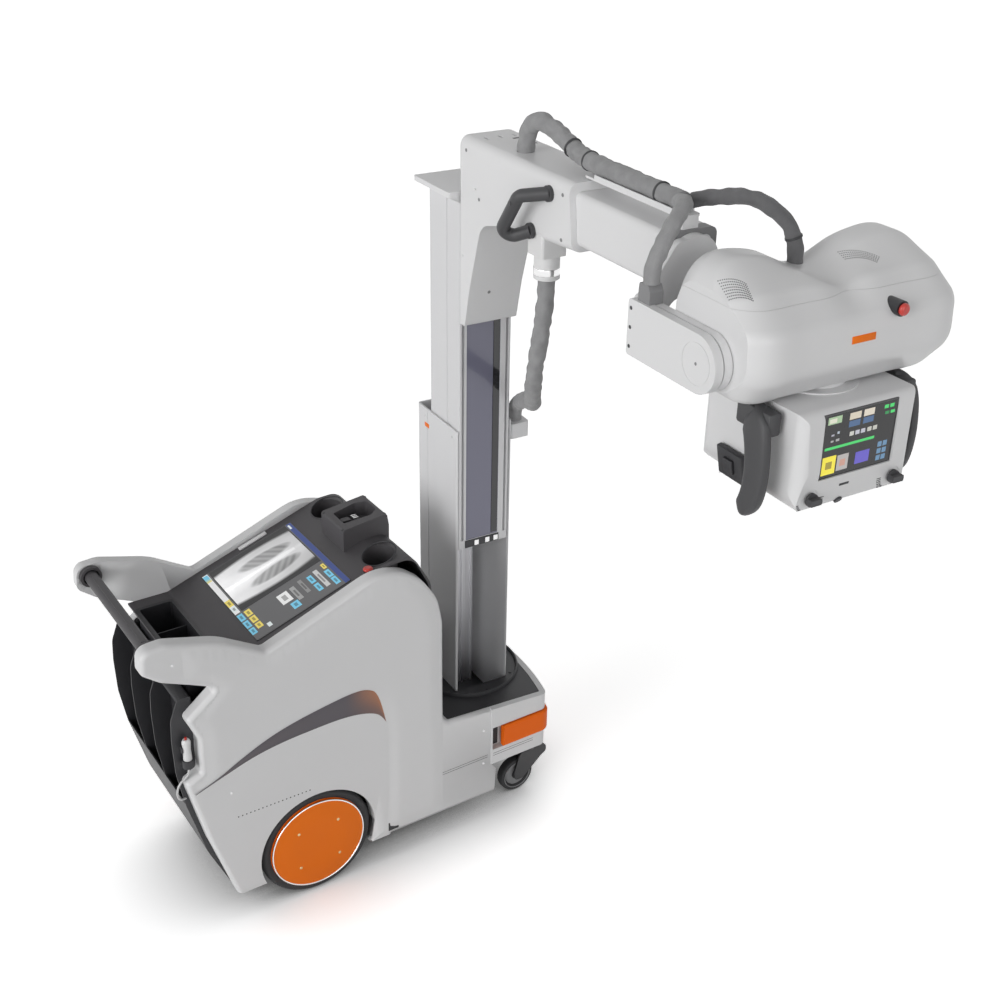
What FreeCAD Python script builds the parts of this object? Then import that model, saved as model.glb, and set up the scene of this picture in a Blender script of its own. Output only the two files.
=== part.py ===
import FreeCAD, Part
import math
import os

# Mobile x-ray machine: a battery driven base, a turning telescopic column, a telescopic arm
# and a tube head with its collimator. Millimetres, +X is the driving direction, +Z is up.
# The model is built with the rear axle over x = 0 and moved to its box's bottom centre at the end.

V = FreeCAD.Vector
X, Y, Z = V(1, 0, 0), V(0, 1, 0), V(0, 0, 1)
os.makedirs("parts", exist_ok=True)

# Base
half_width = 265.0
cover_depth = 43.0
cover_wall = 6.0
cover_rounding = 14.0
cover_inner = half_width - cover_depth
cover_seam_x = 586.0
sill_z = 97.0
deck_z = 402.0
deck_thickness = 6.0
deck_border = 19.0
nose_side_x = 788.0
nose_point_x, nose_bow = 858.0, 900.0
shroud_wall = 5.0
shroud_bottom_z = 212.0
fit_gap = 0.3

# Drive wheels
wheel_radius = 172.0
tyre_width = 60.0
tyre_outer_y = 252.0
hub_radius = 147.0
hub_cover_radius = 143.0
arch_gap = 10.0
axle_radius = 18.0
running_gap = 0.05

# Front casters
caster_x = 772.0
caster_y = 180.0
caster_trail = 39.0
caster_radius = 62.0
caster_width = 30.0
caster_pin = 6.0
swivel_radius = 12.0
caster_plate_z = 150.0
beam_z = 220.0

# Bumper in the groove round the nose
groove_low_z, groove_high_z = 266.0, 348.0
groove_depth = 22.0
groove_start_x = 591.0
bumper_start_x = 626.0
bumper_height = 74.0
bumper_travel = 8.0
guide_y, guide_radius = 120.0, 8.0

# Console
console_slope = 19.05
console_x, console_z = -115.0, 870.0
console_wall = 6.0
console_gap = 0.3
console_post_x = 367.0
display_length, display_width = 301.0, 380.0
display_depth = 18.0
cup_x, cup_y, cup_radius, cup_depth = 275.0, 157.0, 47.0, 70.0
well_low_x, well_high_x, well_half_width = -312.0, -212.0, 170.0
well_rim_z, well_depth = 838.0, 120.0
stop_x, stop_y, stop_radius = 218.0, -200.0, 14.0

# Drive bar between the horns of the covers
bar_x, bar_z, bar_radius = -415.0, 959.0, 18.5
bar_travel, bar_pin = 3.0, 5.0
socket_radius, socket_reach, socket_depth = 30.0, 14.0, 20.0

# Hand switch
switch_x, switch_y, switch_low_z, switch_high_z = -352.0, -240.0, 584.0, 678.0
switch_radius = 12.0
lead_radius = 3.0

# Turning column
column_x = 650.0
column_turn = -93.0
turntable_z = 280.0
turntable_radius = 148.0
spigot_radius = 40.0
disc_radius = 163.0
ring_radius = 173.0
mast_half_width, mast_back, mast_front = 90.0, -120.0, 116.0
mast_wall = 5.5
mast_top_z = 1287.0
inner_half_width, inner_back, inner_front = 82.0, -55.0, 115.0
inner_wall, inner_face = 5.0, 20.0
inner_low_z, inner_high_z = 905.0, 1935.0
window_low_z, window_high_z = 931.0, 1930.0
window_left, window_right, window_recess = -58.0, 48.0, 4.0
track_w, track_width, track_depth = 69.0, 8.0, 13.0
cap_overhang = 30.0
slide_gap = 0.3

# Arm
arm_start = 118.0
carriage_low_z, carriage_half_width = 1608.0, 80.0
arm_top_z, arm_half_width = 2111.0, 82.0
arm_root_z, arm_tip_z = 1915.0, 1957.0
arm_end, arm_end_lower = 624.0, 652.0
arm_wall = 6.0
arm_axis_z = 2029.0
mid_half_width, mid_half_height = 66.0, 61.0
mid_start, mid_end, collar_end = 420.0, 943.0, 971.0
tube_gap = 0.6
tip_half_width, tip_half_height = 52.0, 47.0
tip_start, tip_end = 560.0, 972.0
grip_radius = 16.0
gland_u, gland_w, gland_radius, gland_low_z = 480.0, -42.0, 32.0, 1856.0
rail_start, rail_half_width = 600.0, 26.0
hose_radius, branch_radius = 22.0, 17.0
inlet_u, inlet_w = 330.0, -18.0

# Wrist and side link
wrist_end = 996.0
wrist_radius, wrist_pin = 56.0, 28.0
tilt_u, tilt_z = 1218.0, 1912.0
link_outer_w, link_cover_w, link_inner_w = -160.0, -140.0, -117.0
link_radius = 62.0
link_start = 984.0
connector_u, connector_w, connector_height = 1026.0, -136.0, 40.0
shaft_radius = 25.0

# Tube head
head_left_w, head_right_w = -115.0, 430.0
head_back_u, head_front_u = 1062.0, 1348.0
lobe_top_z, lobe_w, valley_depth, front_top_z = 2094.0, 157.0, 52.0, 2052.0
head_wall = 6.0
head_seam_z = 2030.0
tube_w = 155.0
tube_radius, tube_half_length = 70.0, 130.0
beam_u = 1215.0
head_bottom_z = 1826.0
head_stop_w, head_stop_z = 242.0, 2000.0
head_inlet_u = 1122.0

# Collimator
box_low_z, box_high_z = 1590.0, 1822.0
box_rounding = 62.0
box_half_width, box_half_depth = 155.0, 160.0
port_radius = 70.0
screen_width, screen_height, screen_depth = 198.0, 143.0, 8.0
screen_w, screen_z = 155.0, 1742.0
knob_radius, knob_length = 15.0, 16.0
knob_offset, knob_z = 112.0, 1632.0


# Drawing helpers

def side(y):
    """Turns an (x, z) point into a point of the vertical plane at y."""
    return lambda a, b: V(a, y, b)


def plan(z):
    """Turns an (x, y) point into a point of the level plane at z."""
    return lambda a, b: V(a, b, z)


def front(x):
    """Turns a (y, z) point into a point of the cross plane at x."""
    return lambda a, b: V(x, a, b)


def outline(corners, place):
    """Closed wire through corners (a, b, radius), with an arc at each corner that has a radius."""
    stops = []
    for i, (a, b, radius) in enumerate(corners):
        here = V(a, b, 0)
        if not radius:
            stops.append((here, here, here))
            continue
        before = (V(*corners[i - 1][:2], 0) - here).normalize()
        after = (V(*corners[(i + 1) % len(corners)][:2], 0) - here).normalize()
        half = before.getAngle(after) / 2
        cut = radius / math.tan(half)
        middle = here + (before + after).normalize() * (radius / math.sin(half) - radius)
        stops.append((here + before * cut, middle, here + after * cut))
    stops = [[place(p.x, p.y) for p in stop] for stop in stops]
    edges = []
    for i, (start, middle, end) in enumerate(stops):
        if start.distanceToPoint(end) > 1e-6:
            edges.append(Part.Arc(start, middle, end).toShape())
        following = stops[(i + 1) % len(stops)][0]
        if end.distanceToPoint(following) > 1e-4:
            edges.append(Part.LineSegment(end, following).toShape())
    return Part.Wire(edges)


def sheet(corners, place):
    return Part.Face(outline(corners, place))


def prism(corners, place, reach):
    return sheet(corners, place).extrude(reach)


def rectangle(a0, a1, b0, b1, radius=0):
    return [(a0, b0, radius), (a1, b0, radius), (a1, b1, radius), (a0, b1, radius)]


def block(x0, x1, y0, y1, z0, z1, radius=0):
    """Box between the given limits, with upright corners of the given radius."""
    return prism(rectangle(x0, x1, y0, y1, radius), plan(z0), V(0, 0, z1 - z0))


def rod(radius, start, end):
    way = end - start
    return Part.makeCylinder(radius, way.Length, start, way)


def turned(profile, centre, axis):
    """Solid of revolution: profile lists (radius, place along the axis, corner radius)."""
    across = V(axis.z, axis.x, axis.y)
    face = sheet(profile, lambda r, t: centre + across * r + axis * t)
    return face.revolve(centre, axis, 360)


def mirrored(shape):
    return shape.mirror(V(0, 0, 0), Y)


def joined(shapes):
    return shapes[0].fuse(list(shapes[1:])).removeSplitter()


def widest_face(shape):
    return max(shape.Faces, key=lambda face: face.Area)


def tube(points, radius, bends):
    """Round bar of straight runs with an arc at each inner point."""
    edges = []
    last = points[0]
    for i in range(1, len(points) - 1):
        here = points[i]
        before = (points[i - 1] - here).normalize()
        after = (points[i + 1] - here).normalize()
        half = before.getAngle(after) / 2
        cut = bends[i - 1] / math.tan(half)
        middle = here + (before + after).normalize() * (bends[i - 1] / math.sin(half) - bends[i - 1])
        edges.append(Part.LineSegment(last, here + before * cut).toShape())
        edges.append(Part.Arc(here + before * cut, middle, here + after * cut).toShape())
        last = here + after * cut
    edges.append(Part.LineSegment(last, points[-1]).toShape())
    path = Part.Wire(edges)
    ring = Part.Wire(Part.makeCircle(radius, points[0], points[1] - points[0]))
    return path.makePipeShell([ring], True, False)


def cord(points, radius):
    """A hose along its route. Each bend takes 0.45 of the shorter run beside it."""
    bends = []
    for before, here, after in zip(points, points[1:], points[2:]):
        run = min((here - before).Length, (after - here).Length)
        half_turn = (here - before).getAngle(after - here) / 2
        bends.append(0.45 * run / math.tan(half_turn))
    print("bend radii", [round(bend) for bend in bends])
    return tube(points, radius, bends)


# Base covers

def deck_edge(x):
    """Height of the sloping upper edge of the covers beside the deck."""
    return 427.0 - 0.0747 * (x - 473.0)


def cover_corners():
    front_x = cover_seam_x + 60
    rear = [(-252, sill_z, 22), (-322, 330, 300), (-371, 545, 16), (-327, 568, 10), (-324, 676, 30)]
    horn = [(-352, 744, 16), (-262, 817, 12), (-330, 850, 60), (-405, 884, 60), (-455, 925, 26)]
    horn += [(-450, 990, 30), (-385, 994, 60), (-240, 952, 200), (-120, 879, 20)]
    crown = [(217, 1009, 150), (301, 988, 120), (356, 944, 120), (404, 872, 150), (420, 790, 150)]
    nose = [(421, deck_edge(421), 30), (front_x, deck_edge(front_x), 0), (front_x, sill_z, 0)]
    return rear + horn + crown + nose


def cover_face():
    """Side view of a cover, with its wheel arch, cut where the nose shroud begins."""
    face = sheet(cover_corners(), side(-cover_inner))
    away = [(cover_seam_x, shroud_bottom_z, 0), (606, 188, 0), (601, 90, 0), (700, 90, 0), (700, 500, 0),
            (cover_seam_x, 500, 0)]
    arch = Part.Face(Part.Wire(Part.makeCircle(wheel_radius + arch_gap, V(0, -cover_inner, wheel_radius), Y)))
    return widest_face(face.cut([sheet(away, side(-cover_inner)), arch]))


def arch_rib():
    """Raised band that runs over the stripe and down behind the wheel arch."""
    over = [(-170, 630, 8), (-30, 690, 200), (100, 704, 200), (205, 674, 60), (252, 570, 80), (262, 440, 200)]
    down = [(250, 298, 300), (232, sill_z + 2, 4), (168, sill_z + 2, 4), (204, 300, 300), (220, 470, 200)]
    under = [(208, 580, 60), (160, 640, 60), (60, 662, 150), (-60, 655, 150)]
    return prism(over + down + under, side(-half_width + 6), V(0, -6, 0))


def near_side_cover():
    panel_y = -half_width + 3
    skin = prism(cover_corners(), side(-cover_inner), V(0, panel_y + cover_inner, 0))
    rim = [e for e in skin.Edges if all(abs(v.Y - panel_y) < 0.01 for v in e.Vertexes)]
    skin = skin.makeFillet(cover_rounding, rim)
    skin = skin.common(cover_face().extrude(V(0, -cover_depth, 0)))
    pocket = cover_face().makeOffset2D(-cover_wall)
    above_console = [(-205, 1100, 0), (-205, 812, 0), (console_x, 843, 0), (285, 978, 0), (285, 1100, 0)]
    solid_areas = [rectangle(-500, -190, 745, 1100), above_console]
    pocket = widest_face(pocket.cut([sheet(area, side(-cover_inner)) for area in solid_areas]))
    pocket = pocket.extrude(V(0, panel_y + cover_inner + cover_wall, 0))
    skin = skin.cut(pocket)
    rib = arch_rib().cut(arch_rib().common(skin))
    skin = joined([skin, rib])
    deck_edge_cut = block(440, 700, -half_width + deck_border, 0, deck_z - deck_thickness, 500)
    seat = rod(socket_radius, V(bar_x, -cover_inner, bar_z), V(bar_x, -cover_inner - socket_depth, bar_z))
    port = block(222, 248, -half_width - 1, -half_width + 3, 104, 126)
    return skin.cut([deck_edge_cut, seat, port])


def nose_face(inset, z, start=300.0):
    """Plan of the nose, inset from its outer face; start is where its sides begin."""
    corners = [(start, -half_width, 0), (nose_side_x, -half_width, 26), (nose_point_x, 0, nose_bow),
               (nose_side_x, half_width, 26), (start, half_width, 0)]
    face = sheet(corners, plan(z))
    return face.makeOffset2D(-inset) if inset else face


def nose_ring(outer, inner, low, high, start):
    """Part of the nose between two insets, from low to high, ahead of start."""
    ring = nose_face(outer, low).extrude(V(0, 0, high - low))
    ring = ring.cut(nose_face(inner, low - 1).extrude(V(0, 0, high - low + 2)))
    return ring.common(block(start, 900, -400, 400, low - 1, high + 1))


def front_shroud():
    top = deck_edge(cover_seam_x) + 1
    body = nose_face(0, shroud_bottom_z).extrude(V(0, 0, top - shroud_bottom_z))
    body = body.common(block(cover_seam_x + fit_gap, 900, -400, 400, 0, 500))
    slope = [(500, deck_edge(500), 0), (900, deck_edge(900), 0), (900, 500, 0), (500, 500, 0)]
    wrap = groove_depth + shroud_wall
    low = nose_face(shroud_wall, shroud_bottom_z - 1).extrude(V(0, 0,
                                                                groove_low_z - shroud_wall - shroud_bottom_z + 1))
    waist = nose_face(wrap, shroud_bottom_z).extrude(V(0, 0, 300))
    upper_z = groove_high_z + shroud_wall
    upper = nose_face(shroud_wall, upper_z).extrude(V(0, 0, deck_z - deck_thickness - upper_z))
    opening = nose_face(deck_border, deck_z - deck_thickness).extrude(V(0, 0, 60))
    groove = nose_ring(-1, groove_depth, groove_low_z, groove_high_z, groove_start_x)
    middle_z = (groove_low_z + groove_high_z) / 2
    guides = [rod(guide_radius + running_gap, V(700, s * guide_y, middle_z), V(900, s * guide_y, middle_z))
              for s in (-1, 1)]
    ring_room = rod(ring_radius + fit_gap, V(column_x, 0, deck_z - deck_thickness), V(column_x, 0, 500))
    slope_cut = prism(slope, side(-400), V(0, 800, 0))
    return body.cut([low, waist, upper, opening, slope_cut, groove, ring_room] + guides)


def bumper():
    gap = (groove_high_z - groove_low_z - bumper_height) / 2
    low, high = groove_low_z + gap, groove_high_z - gap
    bar = nose_ring(-9, bumper_travel + 1, low, high, bumper_start_x)
    rim = [e for e in bar.Edges if min(v.Z for v in e.Vertexes) == max(v.Z for v in e.Vertexes)]
    bar = bar.makeFillet(7, [e for e in rim if e.Length > 30 and e.CenterOfMass.x > bumper_start_x + 20])
    middle_z = (low + high) / 2
    guides = [rod(guide_radius, V(778, s * guide_y, middle_z), V(816, s * guide_y, middle_z))
              for s in (-1, 1)]
    return joined([bar] + guides)


def deck_plate():
    low = deck_z - deck_thickness
    plate = nose_face(deck_border + fit_gap, low).extrude(V(0, 0, deck_thickness))
    plate = plate.common(block(424, 900, -400, 400, 0, 500))
    ring = turned([(disc_radius + 2, deck_thickness - 1, 0), (ring_radius - 6, deck_thickness - 1, 0),
                   (ring_radius - 6, deck_thickness, 0), (ring_radius, deck_thickness, 0),
                   (ring_radius - 2, deck_thickness + 8, 2), (disc_radius + 2, deck_thickness + 8, 2)],
                  V(column_x, 0, low), Z)
    hole = rod(disc_radius + 2, V(column_x, 0, low - 1), V(column_x, 0, low + 30))
    return joined([plate, ring]).cut(hole)


# Base frame and drive

def chassis_frame():
    """Welded tray, nose platform, caster outriggers, wheel axles, uprights and cross tubes."""
    rail_y, sheet_t = 175.0, 6.0
    tray = block(-205, 590, -rail_y, rail_y, sill_z, sill_z + sheet_t)
    rails = [block(-205, 590, s * rail_y - (sheet_t if s > 0 else 0), s * rail_y + (0 if s > 0 else sheet_t),
                   sill_z, 170) for s in (-1, 1)]
    inner_reach = cover_inner - fit_gap
    platform = block(480, 764, -inner_reach, inner_reach, turntable_z - 18, turntable_z - 0.3)
    beams = []
    for s in (-1, 1):
        y = s * caster_y - 25
        profile = [(480, sill_z, 0), (590, sill_z, 0), (622, beam_z, 0), (caster_x + 25, beam_z, 0),
                   (caster_x + 25, beam_z + 12, 0), (764, turntable_z - 18, 0), (480, turntable_z - 18, 0)]
        beams.append(prism(profile, side(y), V(0, 50, 0)))
    uprights = [block(x, x + 30, y - 15, y + 15, sill_z, z)
                for x, z in ((-196, 700), (console_post_x, 880)) for y in (-155, 155)]
    reach = half_width - 3 - cover_wall
    ties = [block(x, x + 30, -reach, reach, z, z + 30)
            for x, z in ((console_post_x, 812), (-196, 670), (console_post_x, 540))]
    shelf = block(-196, 402, -150, 150, 404, 410)
    axles = [rod(axle_radius, V(0, s * 160, wheel_radius), V(0, s * (tyre_outer_y - 12), wheel_radius))
             for s in (-1, 1)]
    plates = [block(-45, 45, min(s * 160, s * rail_y), max(s * 160, s * rail_y), sill_z, wheel_radius + 45)
              for s in (-1, 1)]
    frame = joined([tray, platform] + rails + beams + uprights + ties + [shelf] + axles + plates)
    swivels = [rod(swivel_radius + running_gap, V(caster_x, s * caster_y, beam_z - 1),
                   V(caster_x, s * caster_y, beam_z + 30)) for s in (-1, 1)]
    bearing = rod(spigot_radius + running_gap, V(column_x, 0, 0), V(column_x, 0, 300))
    return frame.cut(swivels + [bearing])


def deck_posts():
    """Four posts that stand on the nose platform and carry the deck plate."""
    return Part.makeCompound([block(x, x + 24, y - 12, y + 12, turntable_z - 0.3, deck_z - deck_thickness)
                              for x in (484, 742) for y in (-200, 200)])


def drive_motors():
    """Two gear motors in line with the axle, each bolted to its axle plate."""
    motors = []
    for s in (-1, 1):
        gearbox = rod(wheel_radius - sill_z - 6, V(0, s * 55, wheel_radius), V(0, s * 160, wheel_radius))
        motors.append(joined([gearbox, rod(42, V(0, s * 25, wheel_radius), V(0, s * 55, wheel_radius))]))
    return Part.makeCompound(motors)


def battery_pack():
    low = sill_z + 6
    box = block(110, 360, -150, 150, low, low + 230, 12)
    lid = block(104, 366, -156, 156, low + 200, low + 212, 12)
    terminals = [rod(9, V(150, y, low + 230), V(150, y, low + 246)) for y in (-60, 60)]
    return joined([box, lid] + terminals)


def hv_generator():
    box = block(-150, 340, -135, 135, 410, 690, 10)
    fins = [block(-150, 340, y, y + 4, 690, 715) for y in range(-120, 121, 24)]
    return joined([box] + fins)


def tyre(s):
    centre = V(0, s * (tyre_outer_y - tyre_width / 2), wheel_radius)
    half = tyre_width / 2
    section = [(hub_radius, -half + 4, 0), (wheel_radius - 6, -half, 8), (wheel_radius, -half + 12, 6),
               (wheel_radius, half - 12, 6), (wheel_radius - 6, half, 8), (hub_radius, half - 4, 0)]
    return turned(section, centre, Y)


def hub(s):
    """Wheel centre: bearing boss, dished web and rim, closed outside by a slightly domed disc."""
    inner, outer = tyre_outer_y - tyre_width + 4, tyre_outer_y - 4
    face = half_width - 3
    bore = axle_radius + running_gap
    section = [(0, face, 0), (90, face, 300), (hub_cover_radius, face - 5, 3), (hub_cover_radius, outer, 0),
               (hub_radius, outer, 0), (hub_radius, inner, 0), (hub_radius - 10, inner, 0),
               (hub_radius - 14, inner + 24, 8), (38, inner + 20, 8), (34, inner + 2, 0),
               (bore, inner + 2, 0),
               (bore, outer - 6, 0), (0, outer - 6, 0)]
    wheel = turned([(r, s * t, c) for r, t, c in section], V(0, 0, wheel_radius), Y)
    room = [(36, inner + 30, 8), (hub_radius - 18, inner + 32, 8), (hub_radius - 14, face - 14, 8),
            (36, face - 11, 8)]
    return wheel.cut(turned([(r, s * t, c) for r, t, c in room], V(0, 0, wheel_radius), Y))


def caster_yoke(s):
    """Swivel stem, top plate, and two raked cheeks with a toe guard ahead of the wheel."""
    y = s * caster_y
    hub_x = caster_x - caster_trail
    stem = rod(swivel_radius, V(caster_x, y, caster_plate_z), V(caster_x, y, beam_z + 25))
    collar = rod(30, V(caster_x, y, caster_plate_z), V(caster_x, y, beam_z - 1))
    half = caster_width / 2 + 3
    cheek = [(hub_x - 14, caster_radius - 14, 13), (hub_x + 16, caster_radius - 14, 13), (820, 112, 20),
             (838, 122, 14),
             (836, caster_plate_z + 2, 14), (738, caster_plate_z + 2, 20),
             (hub_x - 16, caster_radius + 16, 13)]
    body = prism(cheek, side(y - half - 6), V(0, 2 * half + 12, 0))
    slot = prism([(600, 0, 0), (780, 0, 0), (808, 100, 30), (796, 140, 10), (600, 140, 0)], side(y - half),
                 V(0, 2 * half, 0))
    pin = rod(caster_pin, V(hub_x, y - half - 6, caster_radius), V(hub_x, y + half + 6, caster_radius))
    return joined([body.cut(slot), stem, collar, pin])


def caster_wheel(s):
    centre = V(caster_x - caster_trail, s * caster_y, caster_radius)
    half = caster_width / 2
    bore = caster_pin + running_gap
    section = [(bore, -half, 0), (16, -half, 0), (18, -half + 8, 3), (40, -half + 8, 3), (44, -half, 3),
               (caster_radius - 4, -half, 6), (caster_radius, 0, 40), (caster_radius - 4, half, 6),
               (44, half, 3),
               (40, half - 8, 3), (18, half - 8, 3), (16, half, 0), (bore, half, 0)]
    return turned(section, centre, Y)


# Console

def console_height(x):
    return console_z + math.tan(math.radians(console_slope)) * (x - console_x)


def console_top():
    """Upper line of the console from its rear rim to its front foot, as (x, z, radius)."""
    rise = [(-205, well_rim_z, 20), (console_x, console_z, 20)]
    hump = [(278, console_height(278), 60), (345, 1008, 50), (402, 905, 80), (412, 760, 0)]
    return rise + hump


def console_body(drop, low_z):
    """Everything of the console's width that lies under its upper line, lowered by drop."""
    half = cover_inner - console_gap
    line = [(x - (drop if x > 390 else 0), z - drop, r) for x, z, r in console_top()]
    foot_x = 412 - drop
    corners = [(-322, well_rim_z - drop, 0)] + line + [(foot_x, low_z, 0), (-322, low_z, 0)]
    return prism(corners, side(-half), V(0, 2 * half, 0))


def on_console(shape):
    """Lays a shape, drawn level at the origin, on the sloping top of the console."""
    shape.rotate(V(0, 0, 0), Y, -console_slope)
    shape.translate(V(console_x, 0, console_z))
    return shape


def console_deck():
    shell = console_body(0, deck_z + 4).cut(console_body(console_wall, deck_z + 3))
    bosses = []
    for s in (-1, 1):
        top = console_height(cup_x) + 30
        bosses.append(rod(cup_radius + 4, V(cup_x, s * cup_y, top - 30 - cup_depth),
                          V(cup_x, s * cup_y, top)))
    bosses.append(on_console(block(-4, display_length + 8, -display_width / 2 - 6, display_width / 2 + 6,
                                   -display_depth - 4, -1)))
    under = console_body(1, deck_z)
    shell = joined([shell] + [boss.common(under) for boss in bosses])
    cups = [rod(cup_radius, V(cup_x, s * cup_y, console_height(cup_x) - cup_depth + 4),
                V(cup_x, s * cup_y, 1200)) for s in (-1, 1)]
    pocket = on_console(block(2 - fit_gap, 2 + display_length + fit_gap, -display_width / 2 - fit_gap,
                              display_width / 2 + fit_gap, -display_depth, 60))
    well = block(well_low_x, well_high_x, -well_half_width, well_half_width, 700, 900)
    stop_hole = rod(6.5, V(stop_x, stop_y, 900), V(stop_x, stop_y, 1100))
    base = console_height(stop_x)
    collar = turned([(6, base - 14, 0), (17, base - 14, 0), (15, base + 4, 2), (6, base + 4, 0)],
                    V(stop_x, stop_y, 0), Z)
    return joined([shell.cut(cups + [pocket, well]), collar]).cut(stop_hole)


def main_display():
    half = display_width / 2
    panel = block(2, 2 + display_length, -half, half, -display_depth, 1.5, 6)
    glass = block(14, display_length - 10, -half + 12, half - 12, 0.7, 10, 3)
    return on_console(panel.cut(glass))


def storage_well():
    """Open tray with a rim flange and two thin dividers."""
    wall, gap = 3.0, fit_gap
    x0, x1, y0 = well_low_x + gap, well_high_x - gap, -well_half_width + gap
    low = well_rim_z - well_depth
    tray = block(x0, x1, y0, -y0, low, well_rim_z + 2, 8)
    rim = block(x0 - 8, x1 + 3, y0 - 8, -y0 + 8, well_rim_z, well_rim_z + 2, 10)
    hollow = block(x0 + wall, x1 - wall, y0 + wall, -y0 - wall, low + wall, well_rim_z + 10, 6)
    shell = joined([tray, rim]).cut(hollow)
    ribs = [block(x0 + 1, x1 - 1, y - 1.5, y + 1.5, low + 1, well_rim_z - 18) for y in (-55, 58)]
    return joined([shell] + ribs)


def head_dock():
    """Parking seat for the tube head: a squared block with a shaped recess and a latch."""
    x0, x1, half, top = 212.0, 356.0, 67.0, 1067.0
    profile = [(x0, 900, 0), (x1, 900, 0), (x1 + 2, 1030, 10), (x1 - 4, top, 8), (x0 + 2, top - 16, 8)]
    body = prism(profile, side(-half), V(0, 2 * half, 0)).cut(console_body(0, deck_z))
    recess = prism([(x0 + 22, -34, 6), (x1 - 42, -42, 14), (x1 - 16, -26, 14), (x1 - 16, 30, 14),
                    (x1 - 48, 44, 14), (x0 + 22, 34, 6)], plan(top - 44), V(0, 0, 80))
    latch = block(x0 + 30, x0 + 56, -10, 10, top - 45, top - 22, 4)
    return joined([body.cut(recess), latch])


def console_stop():
    base = console_height(stop_x)
    cap = [(0, base + 16, 0), (9, base + 16, 4), (stop_radius, base + 12, 4), (stop_radius, base + 8, 0),
           (6, base + 8, 0), (6, base - 12, 0), (0, base - 12, 0)]
    return turned(cap, V(stop_x, stop_y, 0), Z)


def bar_sockets():
    """Round sockets let into the horns; each hole leaves the bar its sensing travel."""
    ring = rod(socket_radius - 0.2, V(bar_x, -cover_inner - socket_depth, bar_z),
               V(bar_x, -cover_inner + socket_reach, bar_z))
    hole = rod(bar_radius + bar_travel + 1, V(bar_x, -cover_inner - socket_depth + 8, bar_z),
               V(bar_x, -cover_inner + socket_reach + 1, bar_z))
    reach = bar_pin + bar_travel + 0.5
    slot = block(bar_x - reach, bar_x + reach, -cover_inner - socket_depth + 2, -cover_inner,
                 bar_z - bar_pin - running_gap, bar_z + bar_pin + running_gap)
    near = ring.cut([hole, slot])
    return Part.makeCompound([near, mirrored(near)])


def drive_bar():
    half = cover_inner + socket_depth - 9
    bar = rod(bar_radius, V(bar_x, -half, bar_z), V(bar_x, half, bar_z))
    pin = rod(bar_pin, V(bar_x, -half - 6, bar_z), V(bar_x, half + 6, bar_z))
    ridge = block(bar_x - 7, bar_x + 7, -half + 40, half - 40, bar_z + 10, bar_z + bar_radius + 1.5, 3)
    return joined([bar, pin, ridge])


def detector_bin():
    """Rear rack: three bays behind a low wall, with upright guides up to the console."""
    outer = [(-250, sill_z + 4, 8), (-318, 263, 200), (-365, 449, 200), (-382, 563, 200), (-384, 668, 120),
             (-380, 734, 60), (-357, 793, 14)]
    inner = [(-322, 793, 4), (-322, 600, 150), (-300, 449, 200), (-250, 263, 200), (-207, sill_z + 4, 4)]
    half, wall = cover_inner - console_gap, 4.0
    body = prism(outer + inner, side(-half), V(0, 2 * half, 0))
    face = sheet(outer + inner, side(-half + wall))
    bay = (2 * half - 4 * wall) / 3
    hollow = face.makeOffset2D(-wall)
    bays = []
    for i in range(3):
        start = -half + wall + i * (bay + wall)
        room = hollow.extrude(V(0, bay, 0))
        room.translate(V(0, start + half - wall, 0))
        mouth = prism([(-420, 452, 0), (-345, 452, 0), (-345, 790 - wall, 0), (-420, 790 - wall, 0)],
                      side(start),
                      V(0, bay, 0))
        bays += [room, mouth]
    return joined([body.cut(bays), switch_clip()])


def hand_switch():
    """White grip with a waist, standing in its clip on the rear edge of the cover."""
    top, low = switch_high_z, switch_low_z
    profile = [(0, low, 0), (switch_radius - 3, low, 3), (switch_radius, low + 30, 20),
               (switch_radius - 1.5, low + 60, 20),
               (switch_radius, top - 8, 3), (8, top, 2), (3.6, top, 0), (3.6, top - 24, 0), (0, top - 24, 0)]
    return turned(profile, V(switch_x, switch_y, 0), Z)


def switch_trigger():
    top = switch_high_z
    cap = [(0, top + 6, 0), (3.3, top + 6, 0), (3.3, top - 20, 0), (0, top - 20, 0)]
    return turned(cap, V(switch_x, switch_y, 0), Z)


def switch_clip():
    """Holder ring round the grip, on a short arm from the rack's side."""
    low = switch_low_z + 6
    ring = rod(switch_radius + 4, V(switch_x, switch_y, low), V(switch_x, switch_y, low + 24))
    arm = block(switch_x - 7, switch_x + 7, switch_y, -cover_inner + 2, low, low + 24)
    return joined([ring, arm]).cut(hand_switch())


# Turning column, drawn with the arm along local x; local y is its left as the arm points

def on_column(shape):
    shape.rotate(V(0, 0, 0), Z, column_turn)
    shape.translate(V(column_x, 0, 0))
    return shape


def mast_base():
    """Turning bearing plate with its spigot, and the cover disc at deck level."""
    plate = rod(turntable_radius, V(0, 0, turntable_z), V(0, 0, turntable_z + 12))
    spigot = rod(spigot_radius, V(0, 0, turntable_z - 30), V(0, 0, turntable_z))
    disc_low = deck_z - deck_thickness
    disc = rod(disc_radius, V(0, 0, disc_low), V(0, 0, deck_z + 2))
    mast = mast_section(disc_low - 10, disc_low + 30, closed=True)
    webs = [block(mast_back - 8, mast_back, w - 8, w + 8, turntable_z + 12, disc_low) for w in (-50, 50)]
    return joined([plate, spigot, disc.cut(mast)] + webs)


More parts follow.
